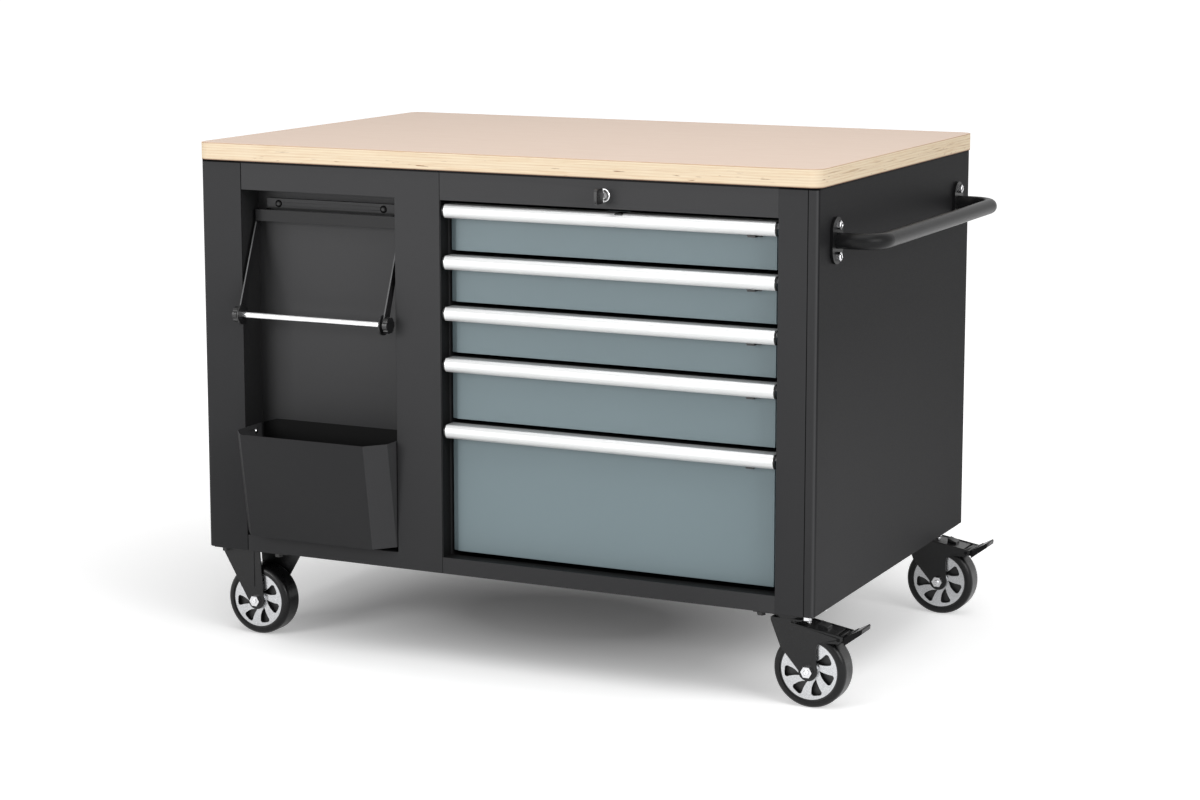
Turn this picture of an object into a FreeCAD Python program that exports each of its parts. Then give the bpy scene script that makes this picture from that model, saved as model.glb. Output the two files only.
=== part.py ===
import FreeCAD, Part
import math
import os
import Sketcher
from FreeCAD import Placement, Rotation, Vector

# Mobile workbench cabinet, in millimetres.
# X runs to the right along the front, Y from the front to the back, and Z up from the floor.
# Sizes below are first measured from the cabinet's front left corner at floor level, and the
# whole is then moved so that the origin lies on the floor under the middle of the outer box.

SIZES = [
    # Carcass
    ("cabinet_depth", 760, "outer depth of the sheet metal body"),
    ("cabinet_height", 690, "height of the sheet metal body"),
    ("floor_gap", 160, "height of the body's underside above the floor"),
    ("sheet", 1.5, "thickness of the body's sheet metal"),
    ("bend", 8, "outer bend radius of the side panels"),
    ("flange", 25, "width of the panels' inward flanges"),
    ("left_post", 82, "width of the post left of the niche"),
    ("niche_width", 305, "width of the niche"),
    ("middle_post", 87, "width of the post between niche and drawers"),
    ("drawer_opening", 609, "width of the drawer opening"),
    ("right_post", 67, "width of the post right of the drawers"),
    ("top_rail", 50, "height of the rail over the openings"),
    ("bottom_rail", 28, "height of the rail under the openings"),
    ("niche_depth", 55, "depth of the niche behind the front face"),
    # Worktop
    ("top_thickness", 30, "thickness of the plywood worktop"),
    ("top_overhang", 4, "overhang of the worktop all round"),
    ("top_corner", 20, "corner radius of the worktop"),
    ("top_edge", 1.5, "eased upper edge of the worktop"),
    # Drawer bodies
    ("front_recess", 30, "depth of the drawer fronts behind the front face"),
    ("front_gap", 7, "gap over, between and under the drawer fronts"),
    ("small_front", 80, "height of the three small fronts"),
    ("middle_front", 107, "height of the fourth front"),
    ("front_side_gap", 5, "gap beside the drawer fronts"),
    ("front_depth", 18, "thickness of the hollow drawer front"),
    ("front_margin", 9, "width of the set back margin of a front"),
    ("front_step", 3, "depth of the set back margin"),
    ("drawer_sheet", 1.2, "thickness of the drawer's sheet metal"),
    ("tray_length", 620, "outer length of the drawer tray"),
    ("tray_lift", 8, "height of the tray's floor over the front's lower edge"),
    ("tray_drop", 17, "depth of the tray's rim under the front's upper edge"),
    # Drawer runners
    ("runner_space", 14, "width of the space beside the tray for one runner"),
    ("runner_height", 36, "height of the outer runner member"),
    ("runner_length", 615, "length of each runner member"),
    ("runner_setback", 2, "setback of the outer runner members behind the drawer front"),
    ("runner_sheet", 1.5, "thickness of the runner members"),
    ("runner_play", 0.5, "gap between nested runner members"),
    ("runner_lift", 9, "height of the runner's lower edge over the tray's floor"),
    # Drawer handles
    ("handle_height", 23, "height of the extruded handle"),
    ("handle_crest", 6, "bulge of the handle's front"),
    ("handle_wall", 2, "wall of the extrusion"),
    ("handle_lip", 4, "inward lip at the handle's lower edge"),
    ("handle_back", 14, "height of the flange on the drawer front"),
    ("handle_end_gap", 3.5, "gap beside the handle"),
    ("notch_offset", 24, "half round notch of the top handle, right of the lock"),
    ("notch_radius", 7, "radius of that notch"),
    # Drawer catches
    ("catch_inset", 52, "distance of the catch from the opening's right edge"),
    ("catch_width", 26, "width of the catch plate"),
    ("catch_thickness", 3, "thickness of the catch plate"),
    ("catch_drop", 5, "reach of the catch below the handle"),
    ("catch_finger", 13, "width of the finger tab"),
    ("catch_reach", 16, "reach of the finger tab in front of the drawer front"),
    ("catch_stud", 8, "width of the stud through the drawer front"),
    ("catch_travel", 8, "travel of the catch"),
    # Lock
    ("lock_drop", 28, "depth of the lock's axis under the body's top"),
    ("lock_flange", 11, "radius of the lock's front ring"),
    ("lock_barrel", 9.5, "radius of the lock's barrel"),
    ("lock_plug", 6, "radius of the turning plug"),
    ("lock_rim", 3, "thickness of the lock's front ring"),
    ("cam_length", 34, "reach of the lock's cam"),
    ("cam_width", 12, "width of the cam"),
    ("cam_thickness", 3, "thickness of the cam"),
    ("key_head", 25, "width and height of the key's grip"),
    ("key_thickness", 5, "thickness of the key's grip"),
    ("key_neck", 5, "bare length of the key's blade"),
    ("key_blade", 2, "thickness of the key's blade"),
    # Push handle
    ("push_setback", 74, "distance of each foot's centre from the body's edge"),
    ("push_drop", 90, "depth of the push handle under the body's top"),
    ("push_reach", 73, "distance of the grip's axis from the side panel"),
    ("push_tube", 13, "radius of the push handle's tube"),
    ("push_bend", 42, "bend radius of the tube's axis"),
    ("foot_height", 76, "height of a foot plate"),
    ("foot_width", 46, "width of a foot plate"),
    ("foot_plate", 5, "thickness of a foot plate"),
    ("foot_holes", 51, "spacing of the foot's two bolts"),
    # Hex bolts
    ("bolt_radius", 4, "shank radius of the hex bolts"),
    ("bolt_play", 0.3, "radial gap of a bolt in its hole"),
    ("bolt_head", 7.5, "corner radius of heads and nuts"),
    ("bolt_head_height", 5.3, "height of a bolt's head"),
    ("bolt_nut_height", 6.5, "height of a nut"),
    # Paper roll holder
    ("bracket_width", 258, "width of the roll holder's bracket"),
    ("bracket_height", 18.5, "height of the bracket's strip"),
    ("bracket_drop", 17.5, "depth of the strip's upper edge under the niche's top"),
    ("bracket_standoff", 9, "distance of the strip's face from the niche's back"),
    ("bracket_sheet", 2, "thickness of the bracket"),
    ("screw_spacing", 210, "spacing of the bracket's screws"),
    ("pivot_depth", 42, "depth of the hanger's pivot behind the front face"),
    ("pivot_drop", 42, "depth of the pivot under the niche's top"),
    ("pivot_pin", 3, "radius of the pivot pins"),
    ("pivot_play", 0.05, "radial running gap of the pins and the bar"),
    ("ear_radius", 6, "radius of the bracket's ears round the pivot"),
    ("hanger_width", 290, "outer width of the hanger"),
    ("hanger_sheet", 2.5, "thickness of the hanger's arms and strip"),
    ("hanger_strip", 20, "height of the hanger's strip"),
    ("strip_above", 5, "height of the strip's upper edge over the pivot"),
    ("hanger_gap", 0.3, "gap between the strip and the ears that it rests on"),
    ("arm_width", 8, "width of the hanger's arms"),
    ("bar_forward", 20, "distance of the roll bar in front of the front face"),
    ("bar_drop", 215, "depth of the roll bar under the niche's top"),
    ("bar_radius", 5.5, "radius of the roll bar"),
    ("bar_play", 0.5, "gap on both sides of each hanger arm, to the disc and to the knob"),
    ("disc_radius", 17.5, "radius of the roll holder's end discs"),
    ("disc_thickness", 2.5, "thickness of the end discs"),
    ("knob_radius", 14, "radius of the star knobs"),
    ("knob_length", 8.5, "length of the star knobs"),
    ("knob_groove", 3.5, "radius of the grooves round a knob"),
    # Bin
    ("bin_side_gap", 2, "gap beside the bin in the niche"),
    ("bin_lift", 9, "height of the bin over the niche's floor"),
    ("bin_height", 185, "height of the bin's front"),
    ("bin_reach", 65, "reach of the bin's upper edge in front of the face"),
    ("bin_foot_reach", 36, "reach of the bin's lower edge in front of the face"),
    ("bin_facet_width", 28, "width of the bin's slanted corners"),
    ("bin_facet_depth", 35, "depth of the bin's slanted corners"),
    ("bin_sheet", 1.5, "thickness of the bin's sheet metal"),
    ("bin_back_rise", 8, "rise of the bin's back over its rim"),
    ("bin_back_slope", 29, "width of the slope at each end of that rise"),
    # Pan head screws
    ("screw_shank", 2.5, "shank radius of the pan head screws"),
    ("screw_head", 4.75, "head radius of the pan head screws"),
    ("screw_head_height", 2.6, "height of a screw's head"),
    ("screw_length", 10, "length of a screw's shank"),
    ("screw_play", 0.2, "radial gap of a screw in its hole"),
    # Casters
    ("wheel_radius", 62.5, "radius of the wheels"),
    ("wheel_width", 44, "width of the tyres"),
    ("tyre_inner", 51, "inner radius of the tyres"),
    ("tyre_round", 9, "shoulder radius of the tyres"),
    ("disc_dish", 2, "depth of the wheel's face inside the tyre's side"),
    ("web_depth", 9, "depth of the wheel's windows"),
    ("hub_radius", 17, "radius of the wheel's hub"),
    ("window_outer", 44, "outer radius of the windows"),
    ("axle_radius", 5, "radius of the axle bolts"),
    ("axle_play", 0.05, "radial running gap of a hub on its bolt"),
    ("axle_head", 9.8, "corner radius of the axle bolt's head and nut"),
    ("axle_head_height", 6.5, "height of the axle bolt's head and nut"),
    ("hub_play", 0.4, "gap between the hub and each fork leg"),
    ("leg_thickness", 3, "thickness of the fork legs"),
    ("leg_round", 16, "radius of a leg's lower end"),
    ("plate_thickness", 4, "thickness of the caster plates"),
    ("plate_depth", 84, "depth of the caster plates"),
    ("plate_hole_depth", 70, "spacing of plate bolts along the depth"),
    ("caster_setback", 52, "distance of the wheel planes from the body's edge"),
    # Rigid casters on the left
    ("rigid_inset", 80, "distance of the rigid axles from the body's left side"),
    ("rigid_plate", 152, "width of the rigid plates"),
    ("rigid_holes", 110, "spacing of the rigid plate's bolts along the width"),
    ("rigid_leg_top", 66, "half width of a rigid leg at its plate"),
    ("rigid_leg_edge", 9, "upright edge of a rigid leg beside the axle"),
    ("rigid_leg_inner", 12, "extra width of a rigid fork's rear leg at its plate"),
    # Swivel casters on the right
    ("swivel_inset", 57, "distance of the swivel axes from the body's right side"),
    ("trail", 38, "distance of the axle from the swivel axis"),
    ("swivel_plate", 104, "width of the swivel plates"),
    ("swivel_holes", 80, "spacing of the swivel plate's bolts along the width"),
    ("race_radius", 29, "radius of the swivel bearing"),
    ("race_height", 8.5, "height of the swivel bearing"),
    ("kingpin_radius", 6, "radius of the kingpin"),
    ("swivel_play", 0.4, "gap between the bearing and the fork's head"),
    ("head_thickness", 3, "thickness of the fork's head"),
    ("head_reach", 27, "reach of the fork's head behind the swivel axis"),
    ("arm_reach", 98, "reach of the fork's arms beyond the swivel axis"),
    ("arm_end_height", 122, "height of the pedal's pivot"),
    ("saddle_width", 20, "width of the saddle on the fork's web"),
    # Brake pedals
    ("pedal_length", 37, "length of the pedal beyond its pivot"),
    ("pedal_rise", 20, "rise of the pedal's tip over its pivot"),
    ("pedal_thickness", 6.5, "thickness of the pedal plate"),
    ("pedal_root_width", 43, "width of the pedal at its pivot"),
    ("pedal_wide", 56, "width of the pedal beyond the fork's arms"),
    ("pedal_tip_width", 38, "width of the pedal at its tip"),
    ("pedal_boss", 6, "radius of the pedal's pivot boss"),
    ("pedal_pin", 3, "radius of the pedal's pivot pin"),
]

DRAWERS = 5
SMALL_FRONTS = 3
WINDOWS = 7
KNOB_GROOVES = 6

# Corners of a wheel window, each with its radius from the hub, its angle in degrees, the radius
# of the arc to the next corner, and 1 where that arc bulges outward or -1 where it bulges in.
# Radii are shares of the windows' outer radius.
WINDOW_CORNERS = [
    (0.424, 4, 0.70, 1), (0.807, 31.5, 0.10, 1), (0.955, 27, 1.00, 1),
    (0.995, 11, 0.10, 1), (0.898, 5, 1.40, -1), (0.415, -5, 0.05, 1),
]


class Size:
    """A length together with the sheet formula that gives it."""

    def __init__(self, value, formula):
        self.value = float(value)
        self.formula = formula

    def joined(self, sign, other, value):
        return Size(value, "(" + self.formula + " " + sign + " " + formula_of(other) + ")")

    def __add__(self, other):
        return self.joined("+", other, self.value + number(other))

    def __radd__(self, other):
        return self + other

    def __sub__(self, other):
        return self.joined("-", other, self.value - number(other))

    def __rsub__(self, other):
        return as_size(other) - self

    def __mul__(self, other):
        return self.joined("*", other, self.value * number(other))

    def __rmul__(self, other):
        return self * other

    def __truediv__(self, other):
        return self.joined("/", other, self.value / number(other))

    def __neg__(self):
        return Size(-self.value, "(0 - " + self.formula + ")")


def number(length):
    return length.value if isinstance(length, Size) else float(length)


def formula_of(length):
    return length.formula if isinstance(length, Size) else repr(float(length))


def as_size(length):
    return length if isinstance(length, Size) else Size(length, formula_of(length))


def root(length):
    return Size(math.sqrt(number(length)), "sqrt(" + formula_of(length) + ")")


class Sheet:
    """The spreadsheet of driving sizes, read by name."""

    def __init__(self, document, rows):
        self.table = document.addObject("Spreadsheet::Sheet", "Sizes")
        for row, (alias, value, meaning) in enumerate(rows, start=1):
            self.table.set("A%d" % row, alias)
            self.table.set("B%d" % row, str(value))
            self.table.setAlias("B%d" % row, alias)
            self.table.set("C%d" % row, meaning)
            setattr(self, alias, Size(value, "Sizes." + alias))


doc = FreeCAD.newDocument("workbench_cabinet")
s = Sheet(doc, SIZES)
doc.recompute()

# Places worked out from the driving sizes

low = s.floor_gap
high = s.floor_gap + s.cabinet_height
niche_left = s.left_post
niche_right = s.left_post + s.niche_width
niche_middle = s.left_post + s.niche_width / 2
opening_left = niche_right + s.middle_post
opening_right = opening_left + s.drawer_opening
right_side = opening_right + s.right_post
opening_low = low + s.bottom_rail
opening_high = high - s.top_rail
rear_inside = s.cabinet_depth - s.sheet * 2
lock_x = opening_left + s.drawer_opening / 2
lock_z = high - s.lock_drop
push_z = high - s.push_drop
pivot_z = opening_high - s.pivot_drop
bar_z = opening_high - s.bar_drop
tray_left = opening_left + s.runner_space
tray_right = opening_right - s.runner_space
tray_front = s.front_recess + s.front_depth
rear_wheel_y = s.cabinet_depth - s.caster_setback
rigid_x = s.rigid_inset
swivel_x = right_side - s.swivel_inset
plate_low = low - s.plate_thickness
race_low = plate_low - s.race_height
head_high = race_low - s.swivel_play
leg_inside = s.wheel_width / 2 + 2.5
leg_outside = leg_inside + s.leg_thickness
origin_x = (right_side + s.push_reach + s.push_tube - s.top_overhang) / 2
origin_y = (s.cabinet_depth + s.top_overhang - s.bin_reach) / 2

# Helpers that make document objects


def bind(obj, prop, length):
    """Give a property its value and, where the value comes from the sheet, its formula."""
    if "." not in prop:
        setattr(obj, prop, number(length))
    if isinstance(length, Size):
        obj.setExpression(prop, length.formula)


def place(obj, x, y, z, rotation=None):
    """Put an object at a point given from the cabinet's front left corner."""
    spot = (x - origin_x, y - origin_y, as_size(z))
    obj.Placement = Placement(Vector(*[number(part) for part in spot]), rotation or Rotation())
    for axis, part in zip("xyz", spot):
        obj.setExpression("Placement.Base." + axis, part.formula)
    return obj


def box(name, x, y, z):
    """A box from three (low, high) pairs."""
    solid = doc.addObject("Part::Box", name)
    bind(solid, "Length", x[1] - x[0])
    bind(solid, "Width", y[1] - y[0])
    bind(solid, "Height", z[1] - z[0])
    return place(solid, x[0], y[0], z[0])


TURNS = {
    "X": Rotation(Vector(0, 1, 0), 90),
    "Y": Rotation(Vector(1, 0, 0), -90),
    "Z": Rotation(),
}


def cylinder(name, x, y, z, axis, radius, height):
    """A cylinder that starts at a point and runs along +X, +Y or +Z."""
    solid = doc.addObject("Part::Cylinder", name)
    bind(solid, "Radius", radius)
    bind(solid, "Height", height)
    return place(solid, x, y, z, TURNS[axis])


def hexagon(name, x, y, z, axis, radius, height):
    """A six sided prism that starts at a point and runs along +X, +Y or +Z."""
    solid = doc.addObject("Part::Prism", name)
    solid.Polygon = 6
    bind(solid, "Circumradius", radius)
    bind(solid, "Height", height)
    return place(solid, x, y, z, TURNS[axis])


def fuse(name, pieces):
    solid = doc.addObject("Part::MultiFuse", name)
    solid.Shapes = pieces
    solid.Refine = True
    return solid


def group(name, pieces):
    solids = doc.addObject("Part::Compound", name)
    solids.Links = pieces
    return solids


PLANE_SIGN = {"XY_Plane": 1, "XZ_Plane": -1, "YZ_Plane": 1}


class Piece:
    """One sheet metal, cast or moulded piece made of sketches and features."""

    def __init__(self, name, x=0, y=0, z=0, rotation=None):
        self.body = doc.addObject("PartDesign::Body", name)
        place(self.body, as_size(x), as_size(y), as_size(z), rotation)
        self.count = 0

    def label(self, kind):
        self.count += 1
        return self.body.Name + "_" + kind + str(self.count)

    def plane(self, role):
        return [item for item in self.body.Origin.OriginFeatures if item.Role == role][0]

    def sketch(self, role, offset, loops):
        """A sketch on an origin plane, moved along the plane's +X, +Y or +Z axis."""
        sketch = self.body.newObject("Sketcher::SketchObject", self.label("sketch"))
        sketch.AttachmentSupport = [(self.plane(role), "")]
        sketch.MapMode = "FlatFace"
        shift = as_size(offset) * PLANE_SIGN[role]
        sketch.AttachmentOffset = Placement(Vector(0, 0, number(shift)), Rotation())
        sketch.setExpression("AttachmentOffset.Base.z", shift.formula)
        for loop in loops:
            if loop[0] == "circle":
                draw_circle(sketch, *loop[1:])
            else:
                draw_outline(sketch, loop)
        return sketch

    def pad(self, role, offset, loops, length):
        """Material from a plane towards +X, +Y or +Z."""
        pad = self.body.newObject("PartDesign::Pad", self.label("pad"))
        pad.Profile = self.sketch(role, offset, loops)
        pad.Reversed = role == "XZ_Plane"
        bind(pad, "Length", length)
        doc.recompute()
        return pad

    def pocket(self, role, offset, loops, length):
        """A recess from a plane towards +X, +Y or +Z."""
        before = self.body.Shape.Volume
        pocket = self.body.newObject("PartDesign::Pocket", self.label("pocket"))
        pocket.Profile = self.sketch(role, offset, loops)
        pocket.Reversed = role != "XZ_Plane"
        bind(pocket, "Length", length)
        doc.recompute()
        if self.body.Shape.Volume > before - 1e-3:
            raise RuntimeError(pocket.Name + " removes nothing")
        return pocket

    def revolve(self, outline):
        """A turned form about the piece's Z axis, from an outline of radius and height."""
        turn = self.body.newObject("PartDesign::Revolution", self.label("turn"))
        turn.Profile = self.sketch("XZ_Plane", 0, [outline])
        turn.ReferenceAxis = (turn.Profile[0], ["V_Axis"])
        turn.Angle = 360
        doc.recompute()
        return turn

    def polar(self, feature, count):
        pattern = self.body.newObject("PartDesign::PolarPattern", self.label("pattern"))
        pattern.Originals = [feature]
        pattern.Axis = (feature.Profile[0], ["N_Axis"])
        pattern.Angle = 360
        pattern.Occurrences = count
        self.body.Tip = pattern
        doc.recompute()
        return pattern

    def mirror(self, features, role):
        copy = self.body.newObject("PartDesign::Mirrored", self.label("mirror"))
        copy.Originals = features
        copy.MirrorPlane = (self.plane(role), [""])
        self.body.Tip = copy
        doc.recompute()
        return copy

    def round(self, radius, wanted):
        """Round the straight edges that the test accepts."""
        doc.recompute()
        base = self.body.Tip
        names = []
        for index, edge in enumerate(base.Shape.Edges, start=1):
            ends = [vertex.Point for vertex in edge.Vertexes]
            if len(ends) == 2 and wanted(ends[0], ends[1]):
                names.append("Edge%d" % index)
        fillet = self.body.newObject("PartDesign::Fillet", self.label("fillet"))
        fillet.Base = (base, names)
        bind(fillet, "Radius", radius)
        doc.recompute()
        return fillet


def draw_circle(sketch, u, v, radius):
    circle = Part.Circle(Vector(number(u), number(v), 0), Vector(0, 0, 1), number(radius))
    index = sketch.addGeometry(circle)
    constrain(sketch, "DistanceX", (-1, 1, index, 3), u)
    constrain(sketch, "DistanceY", (-1, 1, index, 3), v)
    constrain(sketch, "Radius", (index,), radius)


def draw_outline(sketch, corners):
    """A closed outline: each corner is (u, v), or (u, v, radius, turn) before an arc."""
    starts = []
    for index, corner in enumerate(corners):
        following = corners[(index + 1) % len(corners)]
        first = Vector(number(corner[0]), number(corner[1]), 0)
        last = Vector(number(following[0]), number(following[1]), 0)
        if len(corner) == 2:
            geometry = sketch.addGeometry(Part.LineSegment(first, last))
            starts.append((geometry, 1, 2))
        else:
            geometry = sketch.addGeometry(arc_between(first, last, number(corner[2]), corner[3]))
            starts.append((geometry, 1, 2) if corner[3] == "left" else (geometry, 2, 1))
            constrain(sketch, "Radius", (geometry,), corner[2])
    for index, (geometry, start, end) in enumerate(starts):
        other, other_start, other_end = starts[(index + 1) % len(starts)]
        sketch.addConstraint(Sketcher.Constraint("Coincident", geometry, end, other, other_start))
        constrain(sketch, "DistanceX", (-1, 1, geometry, start), corners[index][0])
        constrain(sketch, "DistanceY", (-1, 1, geometry, start), corners[index][1])


def arc_between(first, last, radius, turn):
    """The shorter arc between two points, turning left or right on the way."""
    chord = last - first
    middle = (first + last) / 2
    height = math.sqrt(max(radius ** 2 - chord.Length ** 2 / 4, 0))
    left = Vector(-chord.y, chord.x, 0).normalize()
    centre = middle + left * (height if turn == "left" else -height)
    ends = [math.atan2(point.y - centre.y, point.x - centre.x) for point in (first, last)]
    if turn == "right":
        ends.reverse()
    return Part.ArcOfCircle(Part.Circle(centre, Vector(0, 0, 1), radius), *ends)


def constrain(sketch, kind, where, length):
    index = sketch.addConstraint(Sketcher.Constraint(kind, *where, number(length)))
    if isinstance(length, Size):
        sketch.setExpression("Constraints[%d]" % index, length.formula)


def rectangle(u, v):
    """An outline from two (low, high) pairs."""
    return [(u[0], v[0]), (u[1], v[0]), (u[1], v[1]), (u[0], v[1])]


def channel(web, lip, low_edge, high_edge, wall):
    """A C section in X and Z: its web's outer face, the end of its lips, and its height."""
    inward = wall if number(lip) > number(web) else -wall
    return [
        (web, low_edge), (lip, low_edge), (lip, low_edge + wall), (web + inward, low_edge + wall),
        (web + inward, high_edge - wall), (lip, high_edge - wall), (lip, high_edge), (web, high_edge),
    ]


def upright(x, y):
    """A test for edges that stand upright over a point of the plan."""
    def test(first, last):
        ends = (first, last)
        return all(abs(e.x - number(x)) < 1e-4 and abs(e.y - number(y)) < 1e-4 for e in ends)
    return test


nodes = []


def node(name, built):
    """Give a finished object the name of its node."""
    obj = built.body if isinstance(built, Piece) else built
    obj.Label = name
    nodes.append(obj)
    return obj


# Worktop


def worktop():
    over = s.top_overhang
    piece = Piece("worktop_body")
    outline = rectangle((-over, right_side + over), (-over, s.cabinet_depth + over))
    piece.pad("XY_Plane", high, [outline], s.top_thickness)
    piece.round(s.top_corner, lambda a, b: abs(a.z - b.z) > 1)
    top = number(high + s.top_thickness)
    piece.round(s.top_edge, lambda a, b: abs(a.z - top) < 1e-4 and abs(b.z - top) < 1e-4)
    return piece


# Carcass panels


def side_panel(name, outer, inward, post):
    """A side with its front post, its rear flange and its top flange in one folded sheet."""
    inner = outer + s.sheet * inward
    piece = Piece(name)
    flange_end = outer + s.flange * inward
    section = [
        (post, as_size(0)), (outer, as_size(0)), (outer, s.cabinet_depth), (flange_end, s.cabinet_depth),
        (flange_end, s.cabinet_depth - s.sheet), (inner, s.cabinet_depth - s.sheet),
        (inner, s.sheet), (post, s.sheet),
    ]
    piece.pad("XY_Plane", low, [section], s.cabinet_height)
    for depth_outer, depth_inner in ((0, s.sheet), (s.cabinet_depth, s.cabinet_depth - s.sheet)):
        piece.round(s.bend, upright(outer, depth_outer))
        piece.round(s.bend - s.sheet, upright(inner, depth_inner))
    span = sorted((inner - s.sheet * inward / 2, flange_end), key=number)
    depth = (s.bend * 2, s.cabinet_depth - s.bend * 2)
    piece.pad("XY_Plane", high - s.sheet, [rectangle(span, depth)], s.sheet)
    return piece


def push_holes(panel):
    """Four bolt holes for the push handle's feet."""
    circles = []
    for y in (s.push_setback, s.cabinet_depth - s.push_setback):
        for side in (-0.5, 0.5):
            circles.append(("circle", y, push_z + s.foot_holes * side, s.bolt_radius + s.bolt_play))
    panel.pocket("YZ_Plane", right_side - s.sheet * 2, circles, s.sheet * 3)
    return panel


def niche_frame():
    """The front plate round the niche, with its top flange."""
    piece = Piece("niche_frame_body")
    outline = [
        (niche_left, low), (opening_left, low), (opening_left, high), (niche_left, high),
        (niche_left, opening_high), (niche_right, opening_high),
        (niche_right, opening_low), (niche_left, opening_low),
    ]
    piece.pad("XZ_Plane", 0, [outline], s.sheet)
    ledge = rectangle((niche_left, opening_left), (s.sheet / 2, s.flange))
    piece.pad("XY_Plane", high - s.sheet, [ledge], s.sheet)
    return piece


def drawer_frame():
    """The rails over and under the drawers, joined by the sleeve round the opening."""
    piece = Piece("drawer_frame_body")
    outer = rectangle(
        (opening_left - s.sheet, opening_right + s.sheet), (opening_low - s.sheet, opening_high + s.sheet))
    inner = rectangle((opening_left, opening_right), (opening_low, opening_high))
    piece.pad("XZ_Plane", s.sheet, [outer, inner], s.front_recess - s.sheet)
    width = (opening_left, opening_right)
    lock_hole = ("circle", lock_x, lock_z, s.lock_barrel + s.bolt_play)
    piece.pad("XZ_Plane", 0, [rectangle(width, (opening_high, high)), lock_hole], s.sheet)
    piece.pad("XZ_Plane", 0, [rectangle(width, (low, opening_low))], s.sheet)
    ledge = rectangle(width, (s.sheet / 2, s.flange))
    piece.pad("XY_Plane", high - s.sheet, [ledge], s.sheet)
    return piece


def runner_wall(name, face, outward):
    """An upright wall beside the drawers, flanged away from them at both ends."""
    piece = Piece(name)
    back = face + s.sheet * outward
    lip = face + s.flange * outward
    near = s.front_recess
    section = [
        (face, near), (face, rear_inside), (lip, rear_inside), (lip, rear_inside - s.sheet),
        (back, rear_inside - s.sheet), (back, near + s.sheet), (lip, near + s.sheet), (lip, near),
    ]
    piece.pad("XY_Plane", low + s.sheet, [section], s.cabinet_height - s.sheet)
    return piece


def back_panel():
    piece = Piece("back_panel_body")
    outline = rectangle((s.bend, right_side - s.bend), (low + s.sheet, high - s.sheet))
    piece.pad("XZ_Plane", rear_inside, [outline], s.sheet)
    return piece


def plate_holes(middle_x, middle_y, spacing, radius):
    """The four bolt holes of one caster."""
    return [
        ("circle", middle_x + spacing * i, middle_y + s.plate_hole_depth * j, radius)
        for i in (-0.5, 0.5) for j in (-0.5, 0.5)
    ]


def floor_panel():
    piece = Piece("floor_panel_body")
    loops = [rectangle((s.sheet, right_side - s.sheet), (s.sheet, s.cabinet_depth - s.sheet))]
    for x, y, spacing in caster_spots():
        loops += plate_holes(x, y, spacing, s.bolt_radius + s.bolt_play)
    piece.pad("XY_Plane", low, loops, s.sheet)
    piece.round(s.bend, lambda a, b: abs(a.z - b.z) > 1 and abs(a.x - b.x) < 1e-4)
    return piece


def niche_liner():
    """The shallow lining of the niche, open to the front."""
    piece = Piece("niche_liner_body")
    outer = rectangle(
        (niche_left - s.sheet, niche_right + s.sheet), (opening_low - s.sheet, opening_high + s.sheet))
    inner = rectangle((niche_left, niche_right), (opening_low, opening_high))
    piece.pad("XZ_Plane", s.sheet, [outer, inner], s.niche_depth - s.sheet)
    holes = [("circle", x, z, s.screw_shank + s.screw_play) for x, z in bracket_screws()]
    piece.pad("XZ_Plane", s.niche_depth, [outer] + holes, s.sheet)
    piece.pocket("YZ_Plane", niche_left - s.sheet * 2, [bin_screw_hole()], s.sheet * 3)
    piece.pocket("YZ_Plane", niche_right - s.sheet, [bin_screw_hole()], s.sheet * 3)
    return piece


# Drawers


def front_height(index):
    if index < SMALL_FRONTS:
        return s.small_front
    if index == SMALL_FRONTS:
        return s.middle_front
    used = s.small_front * SMALL_FRONTS + s.middle_front + s.front_gap * (DRAWERS + 1)
    return opening_high - opening_low - used


def front_top(index):
    """Height of the upper edge of a drawer front, counted from the top drawer."""
    top = opening_high - s.front_gap
    for above in range(index):
        top = top - front_height(above) - s.front_gap
    return top


def runner_span(index):
    """Lower and upper edge of a drawer's outer runner members."""
    edge = front_top(index) - front_height(index) + s.tray_lift + s.runner_lift
    return edge, edge + s.runner_height


def runner_member(piece, side, index, level):
    """One runner member on one side: level 0 on the cabinet, 1 between, 2 on the drawer."""
    wall = opening_left if side > 0 else opening_right
    step = (s.runner_sheet + s.runner_play) * level
    edges = runner_span(index)
    near = wall + step * side
    far = wall + (s.runner_space - s.runner_sheet - s.runner_play) * side
    if level == 2:
        web = wall + s.runner_space * side
        lip = near + s.runner_sheet * side
    else:
        web = near
        lip = far - s.runner_play * side
    section = channel(web, lip, edges[0] + step, edges[1] - step, s.runner_sheet)
    start = tray_front if level == 2 else tray_front + s.runner_setback
    return piece.pad("XZ_Plane", start, [section], s.runner_length)


def runner_pair(name, index, level):
    pieces = []
    for side in (1, -1):
        piece = Piece(name + ("_left" if side > 0 else "_right"))
        runner_member(piece, side, index, level)
        pieces.append(piece.body)
    return pieces


def catch_x():
    return opening_right - s.catch_inset


def catch_slot_z(index):
    return front_top(index) - s.handle_back - s.catch_stud


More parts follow.
